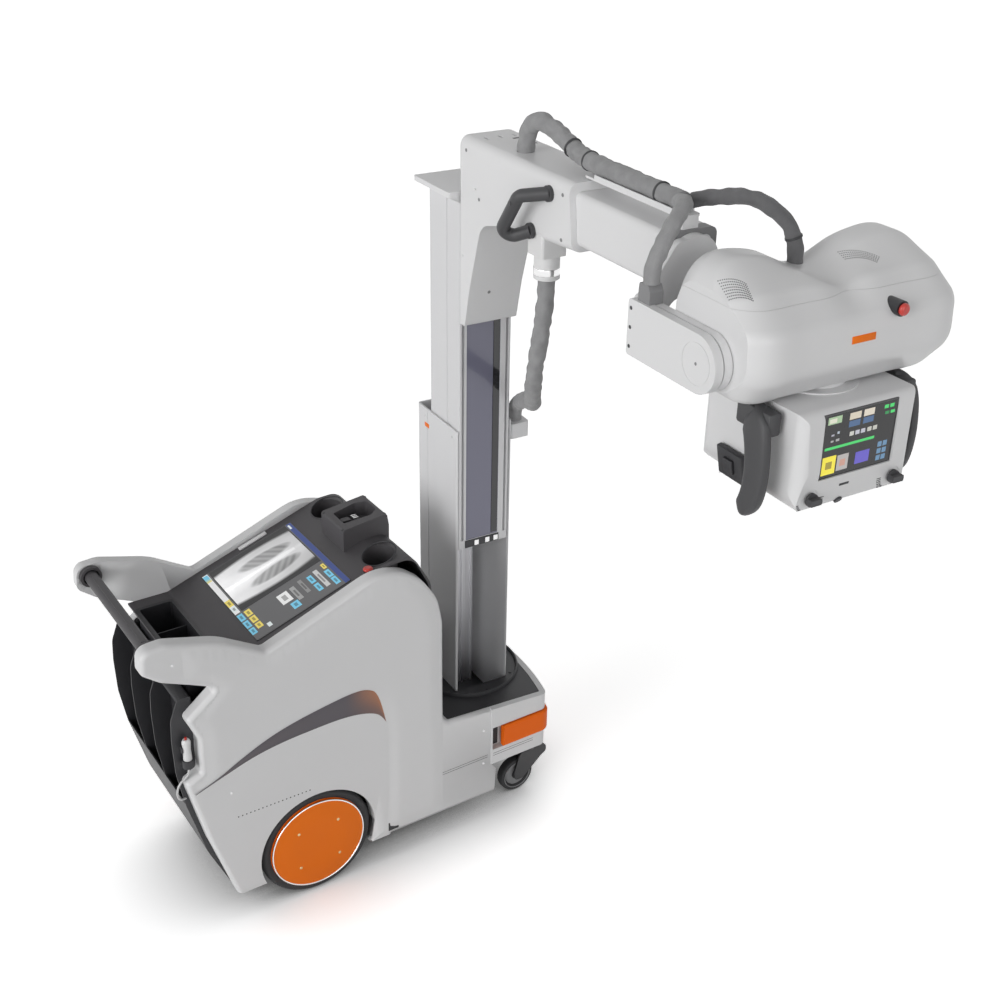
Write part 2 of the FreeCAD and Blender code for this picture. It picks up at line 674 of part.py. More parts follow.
def mast_section(low, high, closed=False):
    """Channel with in-turned lips at its open front; closed gives its full block."""
    full = block(mast_back, mast_front, -mast_half_width, mast_half_width, low, high, 8)
    if closed:
        return full
    room = block(mast_back + mast_wall, mast_front - mast_wall, -mast_half_width + mast_wall,
                 mast_half_width - mast_wall, low - 1, high + 1, 3)
    mouth = mast_half_width - mast_wall
    gap = block(inner_front, mast_front + 1, -mouth, mouth, low - 1, high + 1)
    front_room = block(mast_front - mast_wall - 1, mast_front + 1, -mouth, mouth, low - 1, high + 1)
    return full.cut([room, gap, front_room])


def outer_mast():
    mast = mast_section(turntable_z + 12, mast_top_z)
    seam = block(-60, -56, -mast_half_width - 1, -mast_half_width + 1.2, deck_z + 10, mast_top_z + 1)
    return joined([mast.cut(seam), hose_inlet()])


def mast_guide():
    """Lift guide behind the inner mast: a ribbed extrusion on the channel's back wall."""
    back, front_u = mast_back + mast_wall, inner_back - 3
    body = block(back, front_u - 8, -44, 62, turntable_z + 12, mast_top_z - 30)
    ribs = [block(front_u - 8, front_u, w, w + 6, turntable_z + 12, mast_top_z - 30)
            for w in (-44, -12, 24, 56)]
    return joined([body] + ribs)


def inner_mast():
    """Box section with two tracks for the carriage and a shallow bed for the window strip."""
    mast = block(inner_back, inner_front, -inner_half_width, inner_half_width, inner_low_z, inner_high_z, 6)
    room = block(inner_back + inner_wall, inner_front - inner_face, -inner_half_width + inner_wall,
                 inner_half_width - inner_wall, inner_low_z - 1, inner_high_z + 1, 2)
    bed = block(inner_front - window_recess, inner_front + 1, window_left, window_right, window_low_z,
                window_high_z)
    tracks = [block(inner_front - track_depth, inner_front + 1, s * track_w - track_width / 2,
                    s * track_w + track_width / 2, window_low_z, inner_high_z + 1) for s in (-1, 1)]
    grooves = [block(45, 70, min(s * inner_half_width, s * (inner_half_width - 2)) - 0.01,
                     max(s * inner_half_width, s * (inner_half_width - 2)) + 0.01, inner_low_z - 1,
                     inner_high_z + 1)
               for s in (-1, 1)]
    pad = mast_half_width - mast_wall - slide_gap
    pads = [block(-30, 40, min(s * (inner_half_width - 1), s * pad), max(s * (inner_half_width - 1), s * pad),
                  inner_low_z, inner_low_z + 70) for s in (-1, 1)]
    return joined([mast.cut([room, bed] + tracks + grooves)] + pads)


def mast_window():
    strip = block(inner_front - window_recess, inner_front - window_recess + 2.5, window_left, window_right,
                  window_low_z, window_high_z)
    groove = block(inner_front - window_recess + 1, inner_front, 25, 30, window_low_z - 1, window_high_z + 1)
    return strip.cut(groove)


def mast_cap():
    low = rectangle(inner_back, inner_front - 5, -inner_half_width, inner_half_width, 6)
    high = rectangle(inner_back - cap_overhang, inner_front - 3, -inner_half_width - cap_overhang,
                     inner_half_width + cap_overhang, 6)
    flare = Part.makeLoft([outline(low, plan(inner_high_z)), outline(high, plan(inner_high_z + 16))],
                          True, True)
    slab = prism(high, plan(inner_high_z + 16), V(0, 0, 14))
    return joined([flare, slab])


# Carriage and arm

def arm_solid(inset=0):
    """Outside of the fixed arm: a rounded box that gets shallower towards its raked end."""
    start = outline(rectangle(-arm_half_width + inset, arm_half_width - inset, arm_root_z + inset,
                              arm_top_z - inset,
                              26 - inset), front(arm_start - (1 if inset else 0)))
    end = outline(rectangle(-arm_half_width + inset, arm_half_width - inset, arm_tip_z + inset,
                            arm_top_z - inset,
                            26 - inset), front(arm_end_lower + 20))
    return Part.makeLoft([start, end], True, True)


def skirt_corners(inset=0.0):
    lower = [(arm_start - (1 if inset else 0), carriage_low_z + inset, 0),
             (142 - inset, carriage_low_z + inset, 6),
             (168 - inset, 1722, 60), (224 - inset, 1905, 60)]
    upper = [(345, 1938, 0), (331, 1974, 20), (223, 1990, 60), (160, 2022, 30),
             (arm_start - (1 if inset else 0), 2024 + (1 if inset else 0), 0)]
    return lower + upper


def arm_outer_tube():
    """Raked end, open front for the sliding tubes, seam with the skirt, slots on top."""
    outer = arm_solid()
    end = [(arm_end, arm_top_z + 5, 0), (arm_end_lower, arm_root_z - 5, 0), (800, arm_root_z - 5, 0),
           (800, arm_top_z + 5, 0)]
    rake = prism(end, side(-200), V(0, 400, 0))
    back_room = arm_solid(arm_wall).common(block(100, arm_end - 90, -100, 100, 1800, 2200))
    bore = prism(rectangle(-mid_half_width - tube_gap, mid_half_width + tube_gap,
                           arm_axis_z - mid_half_height - tube_gap,
                           arm_axis_z + mid_half_height + tube_gap, 18), front(mid_start), V(400, 0, 0))
    seam = prism([(arm_start, 1800, 0), (400, 1800, 0)] + skirt_corners()[4:], side(-200), V(0, 400, 0))
    slots = [block(u, u + 22, w - 4, w + 4, arm_top_z - 10, arm_top_z + 1, 3.9)
             for u, w in ((168, -40), (168, 0), (168, 40))]
    inlet = rod(hose_radius + fit_gap, V(inlet_u, inlet_w, arm_top_z - 20),
                V(inlet_u, inlet_w, arm_top_z + 1))
    return outer.cut([rake, back_room, bore, seam] + slots + [inlet])


def carriage_skirt():
    half = carriage_half_width
    outer = prism(skirt_corners(), side(-half), V(0, 2 * half, 0))
    room = prism(skirt_corners(5.0), side(-half + 5), V(0, 2 * half - 10, 0))
    screws = [Part.makeSphere(3.2, V(u, -half, z)) for u, z in ((196, 1992), (131, 1800))]
    return outer.cut([room] + screws)


def carriage_plate():
    """Steel plate behind the skirt, with the two tongues that run in the mast's tracks."""
    low, high = carriage_low_z + 6, arm_top_z - 8
    plate = prism([(-72, low, 6), (72, low, 6), (72, high, 26), (-72, high, 26)], front(arm_start), V(8, 0, 0))
    half = track_width / 2 - slide_gap
    tongues = [block(inner_front - track_depth + 2, arm_start, s * track_w - half, s * track_w + half,
                     carriage_low_z + 10, 1902) for s in (-1, 1)]
    return joined([plate] + tongues)


def arm_handle():
    """Bent bar with two feet on the arm's side."""
    w = -arm_half_width + 1
    points = [V(545, w, 2070), V(494, -134, 2058), V(392, -134, 1922), V(470, w, 1962)]
    bar = tube(points, grip_radius, [22, 22])
    feet = [rod(19, V(545, w - 1, 2070), V(545, w - 9, 2070)),
            rod(19, V(470, w - 1, 1962), V(470, w - 9, 1962))]
    bar = joined([bar] + feet).cut([arm_solid(), gland_house()])
    hole = rod(6.4, V(480, -100, 2039), V(480, -200, 2039))
    return bar.cut(hole)


def handle_trigger():
    return rod(6, V(480, -124, 2039), V(480, -151, 2039))


def gland_house():
    return block(gland_u - 34, gland_u + 36, gland_w - 38, gland_w + 34, 1902, 1975, 8)


def hose_gland():
    """Cable inlet under the arm: a squared housing over a round sleeve."""
    house = gland_house()
    sleeve = rod(gland_radius, V(gland_u, gland_w, gland_low_z), V(gland_u, gland_w, 1960))
    nut = turned([(0, gland_low_z - 14, 0), (gland_radius + 1, gland_low_z - 14, 2),
                  (gland_radius + 1, gland_low_z, 2),
                  (0, gland_low_z, 0)], V(gland_u, gland_w, 0), Z)
    return joined([house, sleeve, nut]).cut(arm_solid())


def slide_tube(start, end, half_w, half_h, wall):
    outer = prism(rectangle(-half_w, half_w, arm_axis_z - half_h, arm_axis_z + half_h, 16), front(start),
                  V(end - start, 0, 0))
    room = prism(rectangle(-half_w + wall, half_w - wall, arm_axis_z - half_h + wall,
                           arm_axis_z + half_h - wall, 10),
                 front(start - 1), V(end - start + 2, 0, 0))
    return outer.cut(room)


def arm_mid_tube():
    wall = mid_half_width - tip_half_width - tube_gap
    return slide_tube(mid_start, mid_end, mid_half_width, mid_half_height, wall)


def arm_collar():
    half_w, half_h = mid_half_width + 1, mid_half_height + 1
    ring = prism(rectangle(-half_w, half_w, arm_axis_z - half_h, arm_axis_z + half_h, 17), front(mid_end),
                 V(collar_end - mid_end, 0, 0))
    gap = tube_gap / 2
    hole = prism(rectangle(-tip_half_width - gap, tip_half_width + gap, arm_axis_z - tip_half_height - gap,
                           arm_axis_z + tip_half_height + gap, 16), front(mid_end - 1), V(60, 0, 0))
    return ring.cut(hole)


def arm_inner_tube():
    """Inner tube, closed at its end by the plate that the wrist turns in."""
    sleeve = slide_tube(tip_start, tip_end, tip_half_width, tip_half_height, 8.0)
    half_w, half_h = tip_half_width - 4, tip_half_height - 4
    plate = prism(rectangle(-half_w, half_w, arm_axis_z - half_h, arm_axis_z + half_h, 12),
                  front(tip_end - 24),
                  V(22, 0, 0))
    bore = rod(wrist_pin + running_gap, V(900, 0, arm_axis_z), V(1000, 0, arm_axis_z))
    return joined([sleeve, plate]).cut(bore)


def hose_rail():
    """Carrier for the hose: stands on the sliding tube's collar and reaches back over the arm."""
    low = arm_top_z + 4
    seat_z = arm_axis_z + mid_half_height + 1
    plate = block(rail_start, collar_end - 6, -rail_half_width, rail_half_width, low, low + 5, 8)
    foot = block(mid_end + 1, collar_end - 6, -rail_half_width + 6, rail_half_width - 6, seat_z, low)
    lips = [block(rail_start + 40, collar_end - 30, w - 1.5, w + 1.5, low + 4, low + 14)
            for w in (-rail_half_width + 1.5, rail_half_width - 1.5)]
    return joined([plate, foot] + lips)


# Wrist, side link and head

def wrist_bracket():
    """Turning flange on the arm's end and the offset arm that carries the side link."""
    flange = rod(wrist_radius, V(tip_end + fit_gap, 0, arm_axis_z), V(wrist_end, 0, arm_axis_z))
    spigot = rod(wrist_pin, V(tip_end - 30, 0, arm_axis_z), V(tip_end + 2, 0, arm_axis_z))
    plate = [(link_cover_w + 0.0, tilt_z - link_radius + 2, 6),
             (link_inner_w + 14, tilt_z - link_radius + 2, 6),
             (-60, 1950, 40), (30, 1978, 30), (46, 2040, 30), (20, 2082, 26), (-52, 2078, 30),
             (link_inner_w, 1985, 30), (link_cover_w + 0.0, tilt_z + link_radius - 2, 4)]
    arm = prism(plate, front(wrist_end - 20), V(20, 0, 0))
    return joined([flange, spigot, arm])


def link_outline(start, radius, root):
    return [(start, tilt_z - radius, root), (tilt_u, tilt_z - radius, 0), (tilt_u, tilt_z + radius, 0),
            (start, tilt_z + radius, root)]


def link_layer(start, radius, root, low_w, high_w):
    body = prism(link_outline(start, radius, root), side(low_w), V(0, high_w - low_w, 0))
    return body.fuse(rod(radius, V(tilt_u, low_w, tilt_z), V(tilt_u, high_w, tilt_z)))


def side_link():
    """Flat link in two layers with a shadow gap, and the shaft that the head tilts on."""
    shell = link_layer(link_start, link_radius, 8, link_outer_w, link_cover_w)
    waist = link_layer(wrist_end + 1, link_radius - 6, 4, link_cover_w, link_cover_w + 4)
    layer = link_layer(wrist_end, link_radius - 1, 8, link_cover_w + 4, link_inner_w)
    shaft = rod(shaft_radius, V(tilt_u, link_inner_w, tilt_z), V(tilt_u, head_left_w + 34, tilt_z))
    disc_edge = turned([(43, link_outer_w - 1, 0), (44.5, link_outer_w - 1, 0), (44.5, link_outer_w + 1, 0),
                        (43, link_outer_w + 1, 0)], V(tilt_u, 0, tilt_z), Y)
    screws = [rod(4.5, V(link_start + 10, link_outer_w - 1, tilt_z + z),
                  V(link_start + 10, link_outer_w + 1.5, tilt_z + z))
              for z in (-42, 0, 42)]
    return joined([shell, waist, layer, shaft]).cut([disc_edge] + screws)


def link_connector():
    """Strain relief block on the link's upper edge, where the head's supply hose ends."""
    top = tilt_z + link_radius
    low_u, high_u = connector_u - 20, connector_u + 20
    profile = [(low_u, top, 0), (high_u, top, 0), (high_u, top + 26, 6),
               (high_u - 8, top + connector_height, 4),
               (low_u + 2, top + connector_height, 4), (low_u, top + 20, 4)]
    return prism(profile, side(connector_w - 17), V(0, 34, 0))


def head_profile(w, grow=0.0):
    """Side view of the head at w: two lobes that rise at the back, falling to a valley between."""
    end = max(0.0, 1 - (min(w - head_left_w, head_right_w - w) + grow) / 55.0) ** 2
    valley = 0.5 + 0.5 * math.cos(min(abs(w - tube_w) / lobe_w, 1) * math.pi)
    top = lobe_top_z - valley_depth * valley - 46 * end + grow
    bottom = head_bottom_z + 26 * end - grow
    back, nose = head_back_u + 22 * end - grow, head_front_u - 30 * end + grow
    front_top = min(top - 6, front_top_z - 14 * end + grow)
    return [(back, 1880, 40), (back + 44, bottom, 40), (nose - 62, bottom, 50), (nose, 1900, 60),
            (nose - 6, 1990, 40), (nose - 78, front_top, 40), (back + 110, top, 50), (back + 22, top, 50),
            (back, 1990, 40)]


def head_solid(grow=0.0):
    stations = [head_left_w - grow, -95, -60, 0, 50, 100, tube_w, 210, 260, 312, 375, 410,
                head_right_w + grow]
    return Part.makeLoft([outline(head_profile(w, grow), side(w)) for w in stations], True, False)


def head_shells():
    """Moulded housing in two halves, parted on a level seam, with bearing and tube saddles."""
    outer = head_solid()
    room = head_solid(-head_wall)
    skin = outer.cut(room)
    upper = skin.common(block(900, 1500, -200, 600, head_seam_z + 0.0, 2200))
    lower = skin.common(block(900, 1500, -200, 600, 1700, head_seam_z - 0.4))
    tube_z = 1950.0
    saddles = [outer.common(prism(rectangle(beam_u - 95, beam_u + 95, 1700, tube_z - 10), side(w),
                                  V(0, 8, 0)))
               for w in (tube_w - 96, tube_w + 88)]
    boss = rod(46, V(tilt_u, head_left_w + 3, tilt_z), V(tilt_u, head_left_w + 36, tilt_z))
    lower = joined([lower, boss.common(outer)] + saddles)
    bore = rod(shaft_radius + running_gap, V(tilt_u, head_left_w - 1, tilt_z),
               V(tilt_u, head_left_w + 40, tilt_z))
    tube_room = rod(tube_radius, V(beam_u, tube_w - tube_half_length, tube_z),
                    V(beam_u, tube_w + tube_half_length, tube_z))
    beam_port = rod(port_radius + running_gap, V(beam_u, tube_w, 1700), V(beam_u, tube_w, head_bottom_z + 40))
    stop_hole = rod(9.5, V(1300, head_stop_w, head_stop_z), V(1400, head_stop_w, head_stop_z))
    hose_hole = rod(branch_radius + fit_gap, V(head_inlet_u, tube_w, 2000), V(head_inlet_u, tube_w, 2150))
    return lower.cut([bore, tube_room, beam_port, stop_hole]), upper.cut([hose_hole])


def xray_tube():
    """Tube housing: a cylinder with stepped ends and the beam port ring below."""
    z = 1950.0
    section = [(0, -tube_half_length, 0), (tube_radius - 16, -tube_half_length, 6),
               (tube_radius - 12, -110, 0),
               (tube_radius, -104, 4), (tube_radius, 104, 4), (tube_radius - 12, 110, 0),
               (tube_radius - 16, tube_half_length, 6), (0, tube_half_length, 0)]
    body = turned(section, V(beam_u, tube_w, z), Y)
    neck = rod(port_radius - 20, V(beam_u, tube_w, 1850), V(beam_u, tube_w, z - 20))
    return joined([body, neck])


def head_stop():
    """Red button on the head's front, on a stem that slides in its bore."""
    u = 1350.0
    profile = [(0, u + 12, 0), (8, u + 12, 4), (13, u + 8, 4), (13, u + 2, 2), (9, u + 2, 0), (9, u - 14, 0),
               (0, u - 14, 0)]
    face = sheet([(t, r, c) for r, t, c in profile], lambda t, r: V(t, head_stop_w, head_stop_z + r))
    return face.revolve(V(0, head_stop_w, head_stop_z), X, 360)


def collimator_outer():
    """Outside of the housing: a sloping chin and well rounded lower corners."""
    u0, u1 = beam_u - box_half_depth, beam_u + box_half_depth
    profile = [(u0, box_low_z + 26, 16), (u0 + 30, box_low_z, 20), (u1 - 34, box_low_z, 24),
               (u1 - 10, box_low_z + 18, 20),
               (u1, 1690, 80), (u1 - 4, box_high_z, 24), (u0, box_high_z - 4, 24)]
    w0 = tube_w - box_half_width
    outer = prism(profile, side(w0), V(0, 2 * box_half_width, 0))
    plan_cut = prism(rectangle(u0, u1, w0, w0 + 2 * box_half_width, 30), plan(box_low_z - 1),
                     V(0, 0, box_high_z - box_low_z + 2))
    w1, low, high = w0 + 2 * box_half_width, box_low_z - 1, box_high_z + 1
    front_cut = [(w0, low, box_rounding), (w1, low, box_rounding), (w1, high, 0), (w0, high, 0)]
    return outer.common(plan_cut).common(prism(front_cut, front(u0 - 1), V(2 * box_half_depth + 2, 0, 0)))


def collimator_body():
    """Hollow housing with a recess for its screen and the turning neck on top."""
    u0, u1 = beam_u - box_half_depth, beam_u + box_half_depth
    outer = collimator_outer()
    wall_w = box_half_width - 10
    room = block(u0 + 12, u1 - 22, tube_w - wall_w, tube_w + wall_w, box_low_z + 40, box_high_z - 12, 12)
    neck = rod(port_radius, V(beam_u, tube_w, box_high_z - 14), V(beam_u, tube_w, head_bottom_z + 14))
    flange = rod(port_radius + 26, V(beam_u, tube_w, box_high_z - 2), V(beam_u, tube_w, head_bottom_z - 2))
    beam = rod(port_radius - 16, V(beam_u, tube_w, box_high_z - 40), V(beam_u, tube_w, head_bottom_z + 40))
    window = block(beam_u - 62, beam_u + 62, tube_w - 62, tube_w + 62, box_low_z - 1, box_low_z + 16, 8)
    screen = block(u1 - screen_depth - 6, u1 + 5, screen_w - screen_width / 2 - fit_gap,
                   screen_w + screen_width / 2 + fit_gap,
                   screen_z - screen_height / 2 - fit_gap, screen_z + screen_height / 2 + fit_gap)
    shape = joined([outer.cut(room), neck, flange]).cut([beam, window, screen])
    for s in (-1, 1):
        w = tube_w + s * knob_offset
        bore = rod(5 + running_gap, V(u1 - 40, w, knob_z), V(u1 + 5, w, knob_z))
        dish = rod(knob_radius + 6, V(u1 - 8, w, knob_z), V(u1 + 10, w, knob_z))
        shape = shape.cut([bore, dish])
    return shape


def collimator_display():
    u = beam_u + box_half_depth - screen_depth - 6
    return block(u, u + screen_depth, screen_w - screen_width / 2, screen_w + screen_width / 2,
                 screen_z - screen_height / 2, screen_z + screen_height / 2)


def collimator_grips():
    """Bent grab bars outside the housing, one on each side."""
    bars = []
    housing = collimator_outer()
    for s in (-1, 1):
        face_w = tube_w + s * box_half_width
        points = [V(beam_u - 44, face_w, 1776), V(beam_u - 44, face_w + s * 32, 1776),
                  V(beam_u + 44, face_w + s * 32, 1706), V(beam_u + 44, face_w + s * 32, 1626),
                  V(beam_u + 44, face_w - s * 10, 1626)]
        bars.append(tube(points, 12.5, [16, 30, 16]).cut(housing))
    return Part.makeCompound(bars)


def knob(s):
    u = beam_u + box_half_depth
    w = tube_w + s * knob_offset
    skirt = rod(knob_radius, V(u - 3, w, knob_z), V(u + knob_length, w, knob_z))
    flats = [block(u + 3, u + knob_length + 1, w - knob_radius - 1, w + knob_radius + 1, knob_z + t,
                   knob_z + t + 12)
             for t in (7, -19)]
    stem = rod(5, V(u - 24, w, knob_z), V(u, w, knob_z))
    return joined([skirt.cut(flats), stem])


# Hoses

def mast_hose():
    points = [V(gland_u, gland_w, gland_low_z - 14), V(gland_u, gland_w, 1776), V(475, -50, 1690), V(464, -56, 1610),
              V(440, -46, 1540), V(396, -18, 1480), V(330, 24, 1436), V(256, 62, 1404), V(184, 94, 1376),
              V(128, 111, 1346), V(88, 120, 1318), V(75, 121, 1290),
              V(75, 121, mast_top_z - 20)]
    return cord(points, hose_radius)


def hose_inlet():
    """Box on the outer mast's side that takes the hose down into the column."""
    low, high = mast_top_z - 66, mast_top_z - 20
    return block(40, 110, mast_half_width, mast_half_width + 62, low, high, 10)


def arm_hose():
    """Main hose: up out of the arm, over in a loop and along the carrier."""
    run_z = arm_top_z + 9 + hose_radius
    points = [V(inlet_u, inlet_w, arm_top_z - 20), V(inlet_u, inlet_w, 2152), V(366, -12, 2196), V(420, 0, 2186),
              V(474, 9, 2160), V(540, 8, 2143), V(620, 0, run_z), V(780, -2, run_z + 1), V(936, -2, run_z)]
    return cord(points, hose_radius)


def link_hose():
    """Branch down to the strain relief on the side link."""
    points = [V(943, -18.2, 2144), V(968, -24, 2152), V(1000, -46, 2158), V(1026, -78, 2152),
              V(1038, -108, 2126),
              V(1036, -126, 2088), V(connector_u, connector_w, 2052),
              V(connector_u, connector_w, tilt_z + link_radius + connector_height)]
    return cord(points, branch_radius)


def head_hose():
    """Branch that dips into the valley between the head's lobes."""
    points = [V(944, 18.2, 2144), V(970, 30, 2154), V(1006, 54, 2164), V(1044, 84, 2168), V(1080, 114, 2154),
              V(1106, 140, 2122), V(head_inlet_u, tube_w, 2078), V(head_inlet_u, tube_w, 2037)]
    return cord(points, branch_radius)


def switch_lead():
    """Lead from the grip's foot round the corner of the cover to the rack's side."""
    points = [V(switch_x, switch_y, switch_low_z), V(-353, -240.5, 566), V(-364, -241, 556),
              V(-380, -241, 545),
              V(-390, -241, 526), V(-391, -240, 505), V(-384, -236, 487), V(-371, -226, 476),
              V(-362, -219, 472)]
    return cord(points, lead_radius)


# Assembly

def build():
    near_cover = near_side_cover()
    parts = {
        "chassis_frame": chassis_frame(), "near_side_cover": near_cover,
             "far_side_cover": mirrored(near_cover),
        "front_shroud": front_shroud(), "deck_posts": deck_posts(), "deck_plate": deck_plate(),
        "bumper": bumper(),
        "drive_motors": drive_motors(), "battery_pack": battery_pack(), "hv_generator": hv_generator(),
        "console_deck": console_deck(), "main_display": main_display(), "storage_well": storage_well(),
        "head_dock": head_dock(), "detector_bin": detector_bin(), "bar_sockets": bar_sockets(),
        "drive_bar": drive_bar(), "console_stop": console_stop(), "hand_switch": hand_switch(),
        "switch_trigger": switch_trigger(), "switch_lead": switch_lead(),
    }
    for name, s in (("near", -1), ("far", 1)):
        parts[name + "_tyre"] = tyre(s)
        parts[name + "_hub"] = hub(s)
        parts[name + "_caster_yoke"] = caster_yoke(s)
        parts[name + "_caster_wheel"] = caster_wheel(s)
    lower_shell, upper_shell = head_shells()
    column = {
        "mast_base": mast_base(), "outer_mast": outer_mast(), "mast_guide": mast_guide(),
        "inner_mast": inner_mast(), "mast_window": mast_window(),
        "mast_cap": mast_cap(), "carriage_plate": carriage_plate(), "carriage_skirt": carriage_skirt(),
        "arm_outer_tube": arm_outer_tube(), "arm_handle": arm_handle(), "handle_trigger": handle_trigger(),
        "hose_gland": hose_gland(), "mast_hose": mast_hose(), "arm_mid_tube": arm_mid_tube(),
        "arm_collar": arm_collar(), "hose_rail": hose_rail(), "arm_hose": arm_hose(),
        "arm_inner_tube": arm_inner_tube(), "wrist_bracket": wrist_bracket(), "side_link": side_link(),
        "link_connector": link_connector(), "link_hose": link_hose(), "head_lower_shell": lower_shell,
        "head_upper_shell": upper_shell, "xray_tube": xray_tube(), "head_stop": head_stop(),
        "head_hose": head_hose(), "collimator_body": collimator_body(),
        "collimator_display": collimator_display(), "collimator_grips": collimator_grips(),
        "near_knob": knob(-1), "far_knob": knob(1),
    }
    for name, shape in column.items():
        parts[name] = on_column(shape)
    return parts


def main():
    parts = build()
    fixed = [shape for name, shape in parts.items() if not name.endswith(("hose", "lead"))]
    boxes = [shape.optimalBoundingBox(False) for shape in fixed]
    middle_x = (min(b.XMin for b in boxes) + max(b.XMax for b in boxes)) / 2
    middle_y = (min(b.YMin for b in boxes) + max(b.YMax for b in boxes)) / 2
    floor = min(b.ZMin for b in boxes)
    print("shift", middle_x, middle_y, floor, len(parts), "parts")
    for name, shape in parts.items():
        shape.translate(V(-middle_x, -middle_y, -floor))
        print(name, "solids", len(shape.Solids), "volume", round(shape.Volume), "valid", shape.isValid())
        shape.exportStep("parts/" + name + ".step")


main()
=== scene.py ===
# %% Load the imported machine
import bpy
import bmesh
import math
from mathutils import Matrix, Vector, noise
from mathutils.bvhtree import BVHTree


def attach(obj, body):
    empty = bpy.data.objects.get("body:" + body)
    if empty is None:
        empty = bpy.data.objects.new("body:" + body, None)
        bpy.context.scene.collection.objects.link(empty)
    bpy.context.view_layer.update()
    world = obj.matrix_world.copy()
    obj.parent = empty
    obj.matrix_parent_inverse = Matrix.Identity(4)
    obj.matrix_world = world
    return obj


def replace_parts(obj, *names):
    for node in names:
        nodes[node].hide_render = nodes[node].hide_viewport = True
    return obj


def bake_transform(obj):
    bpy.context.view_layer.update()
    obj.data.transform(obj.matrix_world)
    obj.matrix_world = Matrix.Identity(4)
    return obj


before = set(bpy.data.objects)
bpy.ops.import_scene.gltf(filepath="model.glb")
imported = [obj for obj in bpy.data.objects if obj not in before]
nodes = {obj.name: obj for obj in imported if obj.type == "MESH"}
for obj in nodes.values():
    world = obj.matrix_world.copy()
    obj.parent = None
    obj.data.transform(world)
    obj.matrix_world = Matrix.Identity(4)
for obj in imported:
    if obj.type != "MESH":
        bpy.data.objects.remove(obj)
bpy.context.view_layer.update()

# %% [markdown]
# The machine has three parts that are measured in their own ways: the base from its rear axle,
# the column along and across its arm, and the console down its slope. Three small functions turn
# such measures, in millimetres, into the scene's metres, so that every detail below can be
# placed with numbers that mean something on the real machine.

# %% Measures of the base, the column and the console
base_shift = Vector((0.2843205, -0.5649263, 0.0))
column_axis = Vector((0.650, 0.0, 0.0)) - base_shift
arm_turn = math.radians(-93)
out = Vector((math.cos(arm_turn), math.sin(arm_turn), 0))
across = Vector((-math.sin(arm_turn), math.cos(arm_turn), 0))
up = Vector((0, 0, 1))
slope = math.radians(19.05)
console_x, console_z = -115.0, 870.0
axle_z = 172.0
caster_x, caster_y, caster_z = 733, 180, 62
switch_x, switch_y = -352, -240
tilt_u, tilt_z = 1218.0, 1912.0
beam_w = 155.0
cover_sides = ((-1, "near_side_cover"), (1, "far_side_cover"))


def base_point(x, y, z):
    return Vector((x, y, z)) / 1000 - base_shift


def column_point(u, w, z):
    return column_axis + (out * u + across * w + up * z) / 1000


def console_point(along, over, height):
    """A point on the console: along its slope, over its width and above its surface."""
    x = console_x + along * math.cos(slope) - height * math.sin(slope)
    z = console_z + along * math.sin(slope) + height * math.cos(slope)
    return base_point(x, over, z)


print("column axis at", column_axis[:2])

# %% [markdown]
# The camera looks down on the machine from its near left, with a fairly long lens. It rolls by
# one degree, as the photographer's did. Two very wide suns stand for the studio's softboxes: a
# strong low one on the left, which makes the left faces the brightest, and a weaker one in front.
# The world fills the shadows. The white floor is darker where the machine stands close over it,
# which gives the soft contact shadow of a studio picture.

# %% Camera
azimuth, roll = math.radians(-33.65), math.radians(1.05)
back = Vector((-0.4886, -0.7340, 0.4718)).normalized()
level = Vector((math.cos(azimuth), math.sin(azimuth), 0))
rise = back.cross(level)
right = level * math.cos(roll) + rise * math.sin(roll)
top = rise * math.cos(roll) - level * math.sin(roll)
eye = Vector((-1.5791, -2.5485, 2.9616))

lens = bpy.data.cameras.new("studio_camera")
lens.lens, lens.sensor_width = 50.4, 36.0
picture_size = 1000
camera = bpy.data.objects.new("studio_camera", lens)
camera.matrix_world = Matrix.Translation(eye) @ Matrix((right, top, back)).transposed().to_4x4()
bpy.context.scene.collection.objects.link(camera)
bpy.context.scene.camera = camera
bpy.context.scene.view_settings.view_transform = "Standard"
print("camera", round((eye - column_axis).length, 2), "m from the column")

# %% Lamps
def softbox(name, towards, strength, spread):
    light = bpy.data.lights.new(name, "SUN")
    light.energy, light.angle = strength, math.radians(spread)
    obj = bpy.data.objects.new(name, light)
    obj.matrix_world = Vector(towards).to_track_quat("Z", "Y").to_matrix().to_4x4()
    bpy.context.scene.collection.objects.link(obj)


softbox("left_softbox", (-0.95, -0.15, 0.09), 2.40, 50)
softbox("front_softbox", (-0.2, -0.9, 0.10), 1.00, 50)

# %% World and floor
def node(tree, kind, links=(), **settings):
    """Adds a node, sets its properties and default inputs, and links what feeds it."""
    made = tree.nodes.new("ShaderNode" + kind)
    for name, value in settings.items():
        if hasattr(made, name):
            setattr(made, name, value)
        else:
            made.inputs[name.replace("_", " ")].default_value = value
    for socket, source in links:
        tree.links.new(source, made.inputs[socket])
    return made


def calc(tree, operation, *terms):
    """The result of a math node whose terms are numbers or other nodes' outputs."""
    made = node(tree, "Math", operation=operation)
    for socket, term in zip(made.inputs, terms):
        if isinstance(term, float):
            socket.default_value = term
        else:
            tree.links.new(term, socket)
    return made.outputs[0]


def empty_tree(owner):
    owner.use_nodes = True
    owner.node_tree.nodes.clear()
    return owner.node_tree


